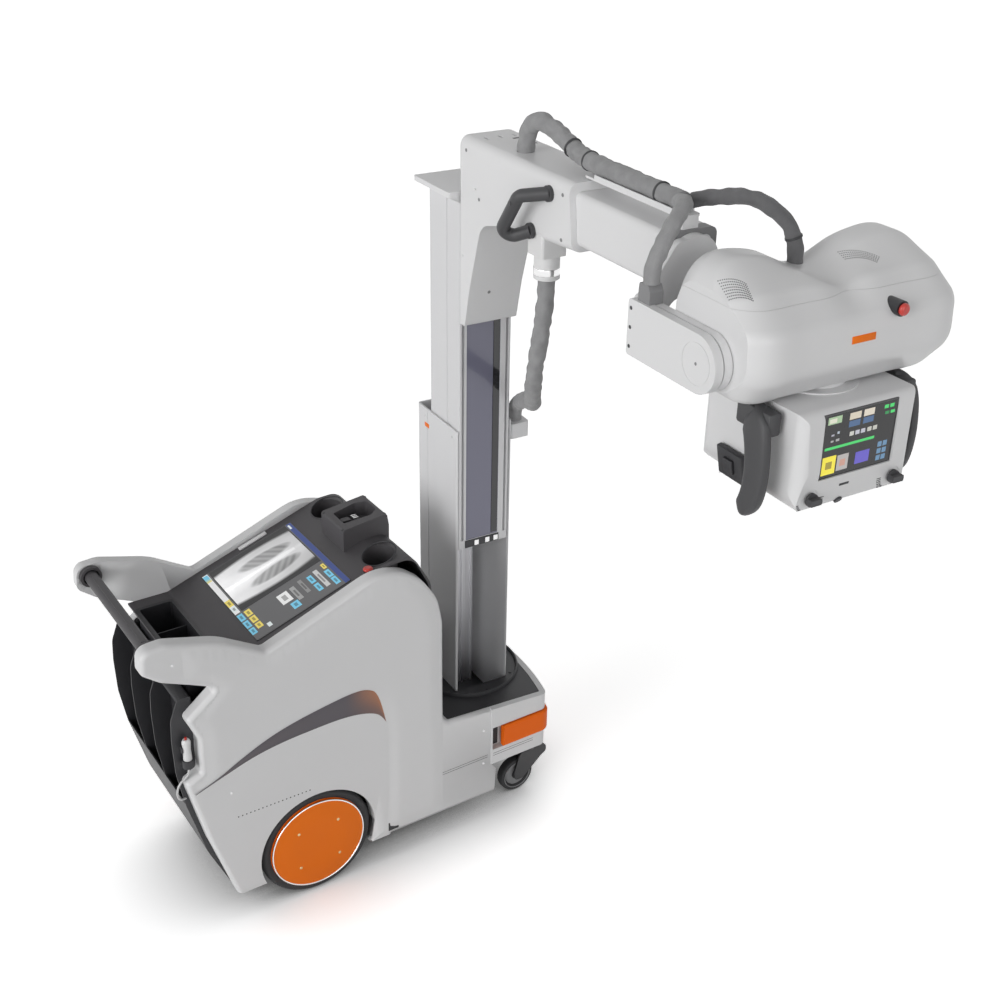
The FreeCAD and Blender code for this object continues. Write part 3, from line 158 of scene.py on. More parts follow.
fill_light, seen_white, floor_glow, contact_reach = 0.29, 1.0, 0.45, 0.55
world = bpy.data.worlds.new("studio")
bpy.context.scene.world = world
tree = empty_tree(world)
rays = node(tree, "LightPath").outputs
seen = calc(tree, "MAXIMUM", rays["Is Camera Ray"], rays["Is Transmission Ray"])
seen = calc(tree, "MAXIMUM", seen, rays["Is Glossy Ray"])
fill = node(tree, "Background", Color=(1, 1, 1, 1), Strength=fill_light)
white = node(tree, "Background", Color=(1, 1, 1, 1), Strength=seen_white)
mix = node(tree, "MixShader", [(0, seen), (1, fill.outputs[0]), (2, white.outputs[0])])
node(tree, "OutputWorld", [(0, mix.outputs[0])])

floor_finish = bpy.data.materials.new("white_floor")
tree = empty_tree(floor_finish)
rays = node(tree, "LightPath").outputs
seen = calc(tree, "MAXIMUM", rays["Is Camera Ray"], rays["Is Glossy Ray"])
contact = node(tree, "AmbientOcclusion", Distance=contact_reach)
shade = node(tree, "MapRange", [("Value", contact.outputs["AO"])],
             From_Min=0.15, From_Max=0.80, To_Min=0.10, To_Max=1.0).outputs["Result"]
bright = node(tree, "Mix", [("Factor", seen)], data_type="RGBA", A=(0.8, 0.8, 0.8, 1), B=(1.5, 1.5, 1.5, 1))
color = node(tree, "Mix", data_type="RGBA", blend_type="MULTIPLY", Factor=1.0)
tree.links.new(bright.outputs["Result"], color.inputs["A"])
tree.links.new(shade, color.inputs["B"])
matte = node(tree, "BsdfDiffuse", [("Color", color.outputs["Result"])])
shown = calc(tree, "MULTIPLY", calc(tree, "MULTIPLY", seen, floor_glow), shade)
glow = node(tree, "Emission", [("Strength", shown)])
both = node(tree, "AddShader", [(0, matte.outputs[0]), (1, glow.outputs[0])])
node(tree, "OutputMaterial", [("Surface", both.outputs[0])])

mesh = bpy.data.meshes.new("studio_floor")
bm = bmesh.new()
bmesh.ops.create_grid(bm, x_segments=1, y_segments=1, size=60)
bm.to_mesh(mesh)
bm.free()
floor = bpy.data.objects.new("studio_floor", mesh)
floor.data.materials.append(floor_finish)
bpy.context.scene.collection.objects.link(floor)

# %% [markdown]
# Most of the machine is moulded plastic or sprayed sheet, so one node group makes that surface:
# a colour that drifts very slightly, a fine grain for the bump, and a roughness that varies where
# hands and cleaning cloths have been. Each material gives it its own colour, grain and scale.

# %% Node groups for moulded surfaces, drawn metal and sleeve cloth
def group(name, inputs, outputs):
    tree = bpy.data.node_groups.new(name, "ShaderNodeTree")
    for label, kind, value in inputs:
        socket = tree.interface.new_socket(label, in_out="INPUT", socket_type="NodeSocket" + kind)
        socket.default_value = value
    for label, kind in outputs:
        tree.interface.new_socket(label, in_out="OUTPUT", socket_type="NodeSocket" + kind)
    return tree, tree.nodes.new("NodeGroupInput"), tree.nodes.new("NodeGroupOutput")


def tinted(tree, given, gain):
    """The group's colour, made lighter or darker by a factor."""
    return node(tree, "VectorMath", [(0, given["Color"]), ("Scale", gain)], operation="SCALE").outputs[0]


def drift_of(tree, pattern, share):
    return calc(tree, "MULTIPLY", calc(tree, "SUBTRACT", pattern, 0.5), share)


def give(tree, result, color, roughness, height):
    for label, source in (("Color", color), ("Roughness", roughness), ("Height", height)):
        tree.links.new(source, result.inputs[label])


surface_outputs = [("Color", "Color"), ("Roughness", "Float"), ("Height", "Float")]
moulded, given, result = group("moulded_surface", [
    ("Color", "Color", (0.8, 0.8, 0.8, 1)), ("Drift", "Float", 0.04), ("Grain Scale", "Float", 900.0),
    ("Roughness", "Float", 0.4), ("Handling", "Float", 0.08)], surface_outputs)
given = given.outputs
place = node(moulded, "TexCoord").outputs["Object"]
broad = node(moulded, "TexNoise", [("Vector", place)], Scale=5.0, Detail=4.0).outputs["Fac"]
fine = [("Vector", place), ("Scale", given["Grain Scale"])]
grain = node(moulded, "TexNoise", fine, Detail=2.0).outputs["Fac"]
smudge = node(moulded, "TexNoise", [("Vector", place)], Scale=17.0, Detail=6.0).outputs["Fac"]
tint = tinted(moulded, given, calc(moulded, "ADD", drift_of(moulded, broad, given["Drift"]), 1.0))
wear = calc(moulded, "MULTIPLY", smudge, given["Handling"])
give(moulded, result, tint, calc(moulded, "ADD", given["Roughness"], wear), grain)

drawn, given, result = group("drawn_metal", [
    ("Color", "Color", (0.6, 0.6, 0.6, 1)), ("Streaks", "Float", 0.25), ("Roughness", "Float", 0.35)],
    surface_outputs)
given = given.outputs
place = node(drawn, "TexCoord").outputs["Object"]
long = node(drawn, "Mapping", [("Vector", place)], Scale=(260.0, 260.0, 3.0)).outputs[0]
streak = node(drawn, "TexNoise", [("Vector", long)], Scale=1.0, Detail=5.0).outputs["Fac"]
amount = drift_of(drawn, streak, given["Streaks"])
tint = tinted(drawn, given, calc(drawn, "ADD", amount, 1.0))
give(drawn, result, tint, calc(drawn, "ADD", given["Roughness"], amount), streak)

cloth, given, result = group("sleeve_cloth", [
    ("Color", "Color", (0.2, 0.2, 0.2, 1)), ("Threads", "Float", 900.0), ("Soiling", "Float", 0.35)],
    surface_outputs)
given = given.outputs
lines = [("Vector", node(cloth, "UVMap", uv_map="UVMap").outputs[0]), ("Scale", given["Threads"])]
lengthwise = node(cloth, "TexWave", lines, bands_direction="X", Distortion=0.6).outputs["Fac"]
round_it = node(cloth, "TexWave", lines, bands_direction="Y", Distortion=0.6).outputs["Fac"]
place = node(cloth, "TexCoord").outputs["Object"]
patch = node(cloth, "TexNoise", [("Vector", place)], Scale=38.0, Detail=5.0).outputs["Fac"]
dark = calc(cloth, "MULTIPLY", patch, given["Soiling"])
tint = tinted(cloth, given, calc(cloth, "SUBTRACT", 1.15, dark))
weave = calc(cloth, "MULTIPLY", lengthwise, round_it)
give(cloth, result, tint, calc(cloth, "MULTIPLY_ADD", patch, 0.15, 0.75), weave)

# %% Materials
def finish(name, family, values, bump=0.15, depth=0.0002, metal=0.0, coat=0.0, sheen=0.0, specular=0.5):
    material = bpy.data.materials.new(name)
    material.use_nodes = True
    tree = material.node_tree
    shader = tree.nodes["Principled BSDF"]
    pattern = tree.nodes.new("ShaderNodeGroup")
    pattern.node_tree = family
    for label, value in values.items():
        pattern.inputs[label].default_value = (*value, 1) if isinstance(value, tuple) else value
    relief = node(tree, "Bump", [("Height", pattern.outputs["Height"])], Strength=bump, Distance=depth)
    tree.links.new(pattern.outputs["Color"], shader.inputs["Base Color"])
    tree.links.new(pattern.outputs["Roughness"], shader.inputs["Roughness"])
    tree.links.new(relief.outputs["Normal"], shader.inputs["Normal"])
    for label, value in (("Metallic", metal), ("Coat Weight", coat), ("Sheen Weight", sheen),
                         ("Specular IOR Level", specular)):
        shader.inputs[label].default_value = value
    return material


def plastic(name, color, roughness, grain=900.0, bump=0.15, drift=0.04, handling=0.08, **more):
    values = {"Color": color, "Roughness": roughness, "Grain Scale": grain, "Drift": drift,
              "Handling": handling}
    return finish(name, moulded, values, bump, **more)


def metal(name, color, roughness, streaks=0.25, **more):
    values = {"Color": color, "Roughness": roughness, "Streaks": streaks}
    return finish(name, drawn, values, metal=1.0, **more)


def sleeving(name, color, soiling):
    values = {"Color": color, "Threads": 700.0, "Soiling": soiling}
    return finish(name, cloth, values, 0.5, 0.0004, sheen=0.3)


shell_white = plastic("shell_white", (0.72, 0.72, 0.725), 0.34, grain=700.0, bump=0.08, coat=0.1)
panel_white = plastic("panel_white", (0.76, 0.76, 0.765), 0.38, grain=1100.0, bump=0.06)
mast_paint = plastic("mast_paint", (0.70, 0.70, 0.71), 0.36, grain=1400.0, bump=0.06)
textured_dark = plastic("textured_dark", (0.055, 0.052, 0.056), 0.52, grain=1500.0, bump=0.5, drift=0.2)
rack_black = plastic("rack_black", (0.02, 0.02, 0.023), 0.45, grain=1300.0, bump=0.4, drift=0.2)
deck_black = plastic("deck_black", (0.022, 0.022, 0.025), 0.42, grain=1200.0, bump=0.4, drift=0.2)
grip_dark = plastic("grip_dark", (0.045, 0.045, 0.048), 0.48, grain=1500.0, bump=0.45, drift=0.15)
collar_grey = plastic("collar_grey", (0.23, 0.23, 0.235), 0.45, grain=1200.0, bump=0.2)
clip_white = plastic("clip_white", (0.74, 0.74, 0.74), 0.35)
orange_gloss = plastic("orange_gloss", (0.90, 0.185, 0.007), 0.42, grain=800.0, bump=0.08, specular=0.22)
bumper_orange = plastic("bumper_orange", (0.88, 0.145, 0.004), 0.45, bump=0.1, specular=0.22)
vent_hole_shade = plastic("vent_hole_shade", (0.16, 0.16, 0.165), 0.6)
stop_red = plastic("stop_red", (0.55, 0.03, 0.02), 0.3, coat=0.3)
tyre_rubber = plastic("tyre_rubber", (0.03, 0.03, 0.032), 0.7, grain=600.0, bump=0.6, drift=0.5,
                      handling=0.15)
caster_plastic = plastic("caster_plastic", (0.022, 0.022, 0.024), 0.38, bump=0.3)
window_blue = plastic("window_blue", (0.17, 0.17, 0.235), 0.16, bump=0.02, coat=0.4)
dark_glass = plastic("dark_glass", (0.012, 0.012, 0.015), 0.09, bump=0.0, coat=0.5)
shadow_gap = plastic("shadow_gap", (0.03, 0.03, 0.032), 0.7)
frame_paint = plastic("frame_paint", (0.05, 0.05, 0.055), 0.5, bump=0.2)
steel = metal("steel", (0.56, 0.56, 0.57), 0.3)
chrome = metal("chrome", (0.78, 0.78, 0.78), 0.12, streaks=0.05)
brass = metal("brass", (0.62, 0.47, 0.24), 0.3)
guide_steel = metal("guide_steel", (0.76, 0.76, 0.78), 0.45, streaks=0.3)
hose_cloth = sleeving("hose_cloth", (0.32, 0.32, 0.325), 0.45)
hose_cloth_dark = sleeving("hose_cloth_dark", (0.14, 0.14, 0.145), 0.5)
lead_white = plastic("lead_white", (0.6, 0.6, 0.6), 0.4)

node_finish = {
    shell_white: "near_side_cover far_side_cover front_shroud head_lower_shell head_upper_shell "
                 "collimator_body",
    panel_white: "carriage_skirt arm_outer_tube arm_mid_tube side_link mast_cap hose_rail "
                 "wrist_bracket",
    mast_paint: "outer_mast inner_mast arm_inner_tube",
    textured_dark: "console_deck head_dock bar_sockets drive_bar",
    rack_black: "detector_bin storage_well",
    deck_black: "deck_plate mast_base",
    grip_dark: "arm_handle collimator_grips handle_trigger near_knob far_knob",
    collar_grey: "arm_collar link_connector",
    clip_white: "hose_gland hand_switch",
    orange_gloss: "near_hub far_hub",
    bumper_orange: "bumper",
    stop_red: "console_stop head_stop switch_trigger",
    tyre_rubber: "near_tyre far_tyre near_caster_wheel far_caster_wheel",
    caster_plastic: "near_caster_yoke far_caster_yoke",
    window_blue: "mast_window",
    dark_glass: "main_display collimator_display",
    frame_paint: "chassis_frame deck_posts battery_pack",
    steel: "drive_motors hv_generator xray_tube carriage_plate",
    guide_steel: "mast_guide"}
for material, names in node_finish.items():
    for name in names.split():
        nodes[name].data.materials.clear()
        nodes[name].data.materials.append(material)
print(len(bpy.data.materials), "materials")

# %% [markdown]
# Small parts are all made the same way: a bmesh collects a few discs, blocks and rings, and one
# function turns it into an object that rides on its body. A helper finds the surface of a solid
# along a line, so that screws, slots and vents sit on the curved shells and not above them.

# %% Tools for small parts
def tree_of(mesh):
    return BVHTree.FromPolygons([v.co for v in mesh.vertices], [p.vertices for p in mesh.polygons])


surfaces = {}
beside, in_front, above = 400, 1600, 2300


def land(name, start, direction):
    """Where a line from start meets the named solid, and the surface's outward direction there."""
    if name not in surfaces:
        surfaces[name] = tree_of(nodes[name].data)
    spot, normal, _, _ = surfaces[name].ray_cast(start, direction.normalized())
    if spot is None:
        raise ValueError("no surface of " + name + " along this line")
    return spot, (-normal if normal.dot(direction) > 0 else normal)


def seen_at(name, px, py):
    """Where the photograph's point (px, py) lies on the named solid."""
    half, distance = picture_size / 2, lens.lens / lens.sensor_width * picture_size
    return land(name, eye, right * (px - half) - top * (py - half) - back * distance)


def from_side(name, side, x, z):
    """Where the named solid of the base is met from the near side (-1) or the far side (1)."""
    return land(name, base_point(x, side * beside, z), Vector((0, -side, 0)))


def from_front(name, w, z):
    """Where a solid of the column is met from in front of the arm."""
    return land(name, column_point(in_front, w, z), -out)


def from_left(name, u, z, side=-1):
    """Where a solid of the column is met from the arm's left side (-1) or its right side (1)."""
    return land(name, column_point(u, side * beside, z), -side * across)


def route(points, resolution):
    """A NURBS line near the points, read back as a list of places."""
    curve = bpy.data.curves.new("route", "CURVE")
    curve.dimensions = "3D"
    spline = curve.splines.new("NURBS")
    spline.points.add(len(points) - 1)
    for point, co in zip(spline.points, points):
        point.co = (*co, 1)
    spline.order_u = 3
    spline.use_endpoint_u = True
    spline.resolution_u = resolution
    holder = bpy.data.objects.new("route", curve)
    mesh = bpy.data.meshes.new_from_object(holder)
    line = [v.co.copy() for v in mesh.vertices]
    bpy.data.objects.remove(holder)
    bpy.data.meshes.remove(mesh)
    return line


def facing(spot, normal, along=up):
    """A placing whose third direction is the normal and whose second one follows along."""
    z = normal.normalized()
    y = along - z * along.dot(z)
    if y.length < 1e-4:
        y = Vector((1, 0, 0)) - z * z.x
    y.normalize()
    return Matrix.Translation(spot) @ Matrix((y.cross(z), y, z)).transposed().to_4x4()


def bevel(bm, edges, offset, segments):
    bmesh.ops.bevel(bm, geom=list(edges), offset=offset, affect="EDGES", segments=segments, profile=0.5,
                    material=-1)


def add_disc(bm, place, radius, height, sides=24, rounding=0.0, small=None, sink=0.0005):
    """A disc or cone that stands on a place, with its upper edge rounded."""
    made = bmesh.ops.create_cone(bm, cap_ends=True, segments=sides, radius1=radius,
                                 radius2=radius if small is None else small, depth=height + sink,
                                 matrix=place @ Matrix.Translation((0, 0, (height - sink) / 2)))
    if rounding:
        lid = place.inverted()
        rim = {e for v in made["verts"] for e in v.link_edges
               if all((lid @ w.co).z > height - 1e-5 for w in e.verts)}
        bevel(bm, rim, rounding, 3)


def add_block(bm, place, size, rounding=0.0, sink=0.0005):
    """A block that stands on a place, sized along its three directions."""
    height = size[2] + sink
    middle = place @ Matrix.Translation((0, 0, (size[2] - sink) / 2))
    bulk = Matrix.Diagonal((size[0], size[1], height, 1))
    made = bmesh.ops.create_cube(bm, size=1.0, matrix=middle @ bulk)
    if rounding:
        bevel(bm, {e for v in made["verts"] for e in v.link_edges}, rounding, 2)


def add_ring(bm, place, radius, thickness, sides=48, tube=10):
    """A ring lying on a place, spun from a small circle."""
    upright = Matrix.Translation((radius, 0, 0)) @ Matrix.Rotation(math.pi / 2, 4, "X")
    made = bmesh.ops.create_circle(bm, segments=tube, radius=thickness, matrix=place @ upright)
    edges = list({e for v in made["verts"] for e in v.link_edges})
    bmesh.ops.spin(bm, geom=made["verts"] + edges, cent=place.translation, axis=place.to_3x3() @ up,
                   angle=math.tau, steps=sides, use_merge=True)


def finish_piece(name, bm, material, body, crease=40):
    bmesh.ops.remove_doubles(bm, verts=bm.verts, dist=1e-6)
    bmesh.ops.recalc_face_normals(bm, faces=bm.faces)
    mesh = bpy.data.meshes.new(name)
    bm.to_mesh(mesh)
    bm.free()
    mesh.materials.append(material)
    mesh.shade_smooth()
    mesh.set_sharp_from_angle(angle=math.radians(crease))
    obj = bpy.data.objects.new(name, mesh)
    bpy.context.scene.collection.objects.link(obj)
    if body:
        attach(obj, body)
    return obj


def piece(name, material, body, slot, shape, places, *sizes, **more):
    """One object of equal discs, blocks or rings at the given places."""
    bm = bmesh.new()
    for place in places:
        shape(bm, place, *sizes, **more)
    return finish_piece(name, bm, material, body)


# %% [markdown]
# The covers aren't flat: beyond the wheel each one stands proud, and a soft slope leads down to the
# panel round the wheel. The solid's plain rib is flattened in a copy of each cover, and a fine
# sheet gives the slope its real form. The wide dark band over the wheel is paint on that slope,
# and it turns to a warm brown at its tip.

# %% Covers with their soft slope
arch_low = [(-276, 530), (-177, 563), (-84, 577), (-4, 581), (76, 584), (141, 578), (191, 562), (215, 542),
            (228, 516)]
slope_low = [(-352, 500)] + arch_low + [(229, 448), (228, 391), (227, 315), (222, 200), (210, 90)]
slope_high = [(-352, 514), (-277, 541), (-230, 567), (-135, 611), (-49, 634), (31, 648), (112, 662),
              (175, 672), (225, 660), (255, 622), (270, 524), (274, 429), (273, 295), (268, 200), (256, 90)]
slope_rise = 0.005
panel_y = 0.262


def smooth(t):
    t = min(1.0, max(0.0, t))
    return t * t * (3 - 2 * t)


def signed_distance(p, line):
    """Distance from p to a line of points, in millimetres, positive on its upper or outer side."""
    best, sign = 1e9, 1
    for a, b in zip(line, line[1:]):
        run = b - a
        t = min(1.0, max(0.0, (p - a).dot(run) / run.length_squared))
        away = p - a - run * t
        if away.length < best - 1e-6:
            best, sign = away.length, (1 if run.x * away.y - run.y * away.x > 0 else -1)
    return best * sign


def smooth_line(points):
    """A smooth line in the plane of x and z."""
    return [p.xy for p in route([(x, z, 0) for x, z in points], 6)]


low_line, high_line = smooth_line(slope_low), smooth_line(slope_high)


def slope_height(x, z):
    """How far the cover stands proud of its panel at (x, z), as a share of its full rise."""
    p = Vector((x, z))
    inner, outer = signed_distance(p, low_line), signed_distance(p, high_line)
    if inner <= 0:
        return 0.0
    return 1.0 if outer >= 0 else smooth(inner / (inner - outer))


step, first_x, last_x, fade = 8, -352, 424, 6
columns, rows = range(first_x, last_x, step), range(98, 1000, step)
heights = {(x, z): slope_height(x, z) for x in columns for z in rows}
for side, name in cover_sides:
    bm = bmesh.new()
    bm.from_mesh(nodes[name].data)
    for vert in bm.verts:
        if side * (vert.co.y + base_shift.y) > panel_y:
            vert.co.y = side * panel_y - base_shift.y
    bmesh.ops.dissolve_degenerate(bm, dist=1e-6, edges=bm.edges)
    panel = finish_piece(name + "_panel", bm, shell_white, "base", crease=30)
    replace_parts(panel, name)
    surfaces[name] = tree_of(panel.data)
    flat_spots = set()
    for x, z in heights:
        hit = surfaces[name].ray_cast(base_point(x, side * beside, z), Vector((0, -side, 0)))[0]
        if hit is not None and abs(side * (hit.y + base_shift.y) - panel_y) < 0.0004:
            flat_spots.add((x, z))
    edge = {spot: 0 for spot in heights if spot not in flat_spots}
    front = list(edge)
    for reach in range(1, fade):
        around = [(x + dx, z + dz) for x, z in front
                  for dx, dz in ((step, 0), (-step, 0), (0, step), (0, -step))]
        front = [spot for spot in around if spot in heights and spot not in edge]
        edge.update((spot, reach) for spot in front)
        front = list(set(front))
    bm = bmesh.new()
    spots = {}
    for spot in flat_spots:
        reach = min(edge.get(spot, fade), (spot[0] - first_x) / step, (last_x - spot[0]) / step)
        height = slope_rise * heights[spot] * smooth(reach / fade) - 0.0003
        spots[spot] = bm.verts.new(base_point(spot[0], side * (panel_y + height) * 1000, spot[1]))
    for x, z in spots:
        ring = [(x, z), (x + step, z), (x + step, z + step), (x, z + step)]
        if all(p in spots for p in ring) and max(heights[p] for p in ring) > 0:
            bm.faces.new([spots[p] for p in ring])
    bmesh.ops.delete(bm, geom=[v for v in bm.verts if not v.link_faces], context="VERTS")
    finish_piece(name + "_slope", bm, shell_white, "base", crease=80)

# %% The dark band on the slope
band_low = [(-350, 506)] + arch_low
band_high = [(-350, 509), (-277, 539), (-230, 567), (-135, 611), (-49, 634), (31, 648), (112, 660),
             (165, 658), (208, 628), (227, 518)]
band_paint = bpy.data.materials.new("band_paint")
band_paint.use_nodes = True
shader = band_paint.node_tree.nodes["Principled BSDF"]
color = node(band_paint.node_tree, "Attribute", attribute_name="tint")
band_paint.node_tree.links.new(color.outputs["Color"], shader.inputs["Base Color"])
shader.inputs["Roughness"].default_value = 0.38

bm = bmesh.new()
tint = bm.verts.layers.float_color.new("tint")
dark, warm = Vector((0.075, 0.066, 0.078)), Vector((0.42, 0.17, 0.08))
for side in (-1, 1):
    last = None
    for a, b in zip(smooth_line(band_low), smooth_line(band_high)):
        line = []
        for i in range(9):
            p = a.lerp(b, i / 8)
            y = panel_y * 1000 + 0.35 + slope_rise * 1000 * slope_height(*p)
            vert = bm.verts.new(base_point(p.x, side * y, p.y))
            glow_share = smooth((p.x - 95) / 120) * (0.25 + 0.75 * smooth(i / 8))
            vert[tint] = (*dark.lerp(warm, glow_share), 1)
            line.append(vert)
        row = [bm.edges.new(pair) for pair in zip(line, line[1:])]
        if last:
            bmesh.ops.bridge_loops(bm, edges=last + row)
        last = row
band = finish_piece("cover_band", bm, band_paint, "base")
print("band", len(band.data.polygons), "faces")

# %% [markdown]
# Two rows of tiny vent holes follow the covers: one under the crest of the side and one above the
# wheel. They are shallow dark discs on both covers.

# %% Vent holes in the side covers
def along_line(start, end, count):
    return [Vector(start).lerp(Vector(end), i / (count - 1)) for i in range(count)]


holes = along_line((-65, 826), (222, 926), 23) + along_line((-236, 380), (-20, 378), 19)
places = [facing(*from_side(name, side, x, z)) for side, name in cover_sides for x, z in holes]
piece("cover_vent_holes", shadow_gap, "base", "dark_trim", add_disc, places, 0.0021, 0.0003, sides=10)

# %% [markdown]
# The sheet-metal seams are thin dark lines on the covers: a pair runs from the wheel arch to the
# nose, on each side. Behind the bumper the shroud has a dark gap, and each cover has a small recess
# in front of its wheel. Small round-headed screws hold the panels at their ends.

# %% Seams and screws of the base
def add_seam(bm, name, side, start, end, z):
    """A thin strip along a solid's side, in short blocks that follow its surface."""
    steps = max(2, int((end - start) / 30))
    spots = [from_side(name, side, start + (end - start) * i / steps, z) for i in range(steps + 1)]
    for (last, _), (spot, normal) in zip(spots, spots[1:]):
        run = spot - last
        add_block(bm, facing((spot + last) / 2, normal, run), (0.0012, run.length * 1.02, 0.0003))


bm = bmesh.new()
for side, name in cover_sides:
    for z in (244, 252):
        add_seam(bm, name, side, 272, 575, z)
        add_seam(bm, "front_shroud", side, 594, 740, z)
    add_block(bm, facing(*from_side("front_shroud", side, 607, 307)), (0.030, 0.078, 0.0006))
    add_block(bm, facing(*from_side(name, side, 243, 128)), (0.034, 0.030, 0.0010), 0.0004)
finish_piece("cover_seams", bm, shadow_gap, "base")

bm = bmesh.new()
for side, name in cover_sides:
    for x, z in ((-372, 930), (-250, 470), (560, 225), (560, 350)):
        spot, normal = from_side(name, side, x, z)
        add_disc(bm, facing(spot, normal), 0.0042, 0.0010, sides=20, rounding=0.0005)
        add_disc(bm, facing(spot + normal * 0.0010, normal), 0.0018, 0.0002, sides=6)
finish_piece("cover_screws", bm, steel, "base")

# %% Hub rings and screws
for side, hub, body in ((-1, "near_hub", "near_wheel"), (1, "far_hub", "far_wheel")):
    centre = base_point(0, 0, axle_z)
    centre.y = from_side(hub, side, 141, axle_z)[0].y
    place = facing(centre, Vector((0, side, 0)))
    piece(body + "_ring", chrome, body, "steel", add_ring, [place], 0.1442, 0.0024, sides=96)
    angles = [math.radians(angle) for angle in (45, 135, 225, 315)]
    places = [facing(*from_side(hub, side, 88 * math.cos(a), axle_z + 88 * math.sin(a))) for a in angles]
    piece(body + "_screws", brass, body, "steel", add_disc, places, 0.0046, 0.0008, sides=20, rounding=0.0004)

# %% Caster rims
for side, body in ((-1, "near_roller"), (1, "far_roller")):
    bm = bmesh.new()
    for face in (-1, 1):
        cheek, edge = (facing(base_point(caster_x, side * caster_y + face * depth, caster_z),
                              Vector((0, face, 0))) for depth in (7, 15))
        add_disc(bm, cheek, 0.0395, 0.003, sides=40, rounding=0.0012)
        add_ring(bm, edge, 0.047, 0.0016)
    finish_piece(body + "_rim", bm, collar_grey, body)

# %% [markdown]
# The console is where the operator looks, so its screen gets a picture of its own. The screen's
# picture is a grid whose colours are worked out point by point: a grey radiograph with two darker
# lungs and faint ribs in a black frame, a blue bar along the top, and rows of small coloured tiles.

# %% Screen pictures
def picture_material(name, strength):
    material = bpy.data.materials.new(name)
    material.use_nodes = True
    tree = material.node_tree
    shader = tree.nodes["Principled BSDF"]
    tint = node(tree, "Attribute", attribute_name="tint")
    tree.links.new(tint.outputs["Color"], shader.inputs["Base Color"])
    tree.links.new(tint.outputs["Color"], shader.inputs["Emission Color"])
    shader.inputs["Emission Strength"].default_value = strength
    shader.inputs["Roughness"].default_value = 0.2
    return material


screen_picture = picture_material("screen_picture", 0.6)


def add_picture(bm, layer, place, height, corner, size, shade, steps=(1, 1)):
    """A grid at place(s, t, height), in one colour or with each point coloured by shade(s, t)."""
    grid = bmesh.ops.create_grid(bm, x_segments=steps[0], y_segments=steps[1], size=0.5)["verts"]
    for vert in grid:
        s, t = vert.co.x + 0.5, vert.co.y + 0.5
        vert[layer] = (*(shade(s, t) if callable(shade) else shade), 1)
        vert.co = place(corner[0] + s * size[0], corner[1] + t * size[1], height)


def chest(s, t):
    """Grey radiograph: shoulders at the top, two lungs with ribs, the bright belly below."""
    x, y = (s - 0.5) * 2, t
    waist = 0.86 + 0.12 * math.sin(y * 3.0)
    body = min(1.0, max(0.0, (waist - abs(x)) * 9))
    value = 0.76 - 0.20 * y + 0.12 * (1 - abs(x))
    for lung_x in (-0.38, 0.38):
        dx = (x - lung_x - math.copysign(0.16, lung_x) * (0.6 - y)) / 0.27
        dy = (y - 0.58) / 0.35
        inside = min(1.0, max(0.0, (1 - dx * dx - dy * dy) * 2.2))
        rib = 0.05 * math.sin((y + 0.35 * abs(x)) * 62)
        value -= inside * (0.25 + rib)
    value += 0.14 * max(0.0, 1 - abs(x) * 9) * (1 if y < 0.9 else 0.3)
    value += 0.05 * noise.noise(Vector((x * 3, y * 5, 0)))
    level = 0.01 + max(0.0, value) ** 1.9 * body
    return (level, level, level * 1.01)


bm = bmesh.new()
tint = bm.verts.layers.float_color.new("tint")


def on_screen(s, t, height):
    """Screen measures: s from the far to the near side, t from the lower to the upper edge."""
    return console_point(4 + t * 297, 187 - s * 374, height)


yellow, cyan, pale = (0.62, 0.50, 0.10), (0.13, 0.42, 0.58), (0.55, 0.60, 0.60)
blue, panel_grey, white = (0.015, 0.035, 0.16), (0.075, 0.075, 0.078), (0.62, 0.62, 0.62)
add_picture(bm, tint, on_screen, 1.7, (0, 0), (1, 1), panel_grey, (2, 2))
add_picture(bm, tint, on_screen, 1.85, (0.0, 0.07), (0.62, 0.87), (0.004, 0.004, 0.005))
add_picture(bm, tint, on_screen, 2.0, (0.04, 0.08), (0.54, 0.85), chest, (80, 110))
add_picture(bm, tint, on_screen, 1.85, (0.0, 0.95), (1.0, 0.05), blue)
add_picture(bm, tint, on_screen, 1.85, (0.0, 0.0), (0.62, 0.055), white)
tiles = [(0.01, 0.0, 0.05, 0.05, cyan), (0.06, 0.0, 0.05, 0.05, yellow), (0.42, 0.0, 0.09, 0.055, yellow),
         (0.52, 0.0, 0.07, 0.055, pale), (0.64, 0.0, 0.09, 0.055, cyan), (0.745, 0.0, 0.09, 0.055, cyan),
         (0.85, 0.0, 0.08, 0.055, cyan), (0.64, 0.075, 0.08, 0.06, yellow),
         (0.735, 0.075, 0.08, 0.06, yellow), (0.83, 0.075, 0.07, 0.06, yellow),
         (0.90, 0.16, 0.05, 0.04, pale), (0.70, 0.39, 0.13, 0.11, white),
         (0.70, 0.53, 0.18, 0.05, (0.25, 0.25, 0.25)), (0.86, 0.44, 0.08, 0.08, cyan),
         (0.68, 0.63, 0.18, 0.04, (0.18, 0.18, 0.18)), (0.70, 0.72, 0.10, 0.05, cyan),
         (0.82, 0.72, 0.10, 0.05, cyan), (0.68, 0.80, 0.24, 0.045, (0.42, 0.42, 0.42)),
         (0.66, 0.90, 0.07, 0.035, yellow), (0.75, 0.88, 0.10, 0.05, cyan), (0.86, 0.88, 0.10, 0.05, cyan),
         (0.02, 0.955, 0.06, 0.02, pale)]
for s, t, width, height, color in tiles:
    add_picture(bm, tint, on_screen, 2.0, (s, t), (width, height), color)
    if width > 0.06:
        add_picture(bm, tint, on_screen, 2.15, (s + width * 0.25, t + height * 0.3),
                    (width * 0.5, height * 0.4), tuple(c * 0.45 for c in color))
finish_piece("console_screen_picture", bm, screen_picture, "base")

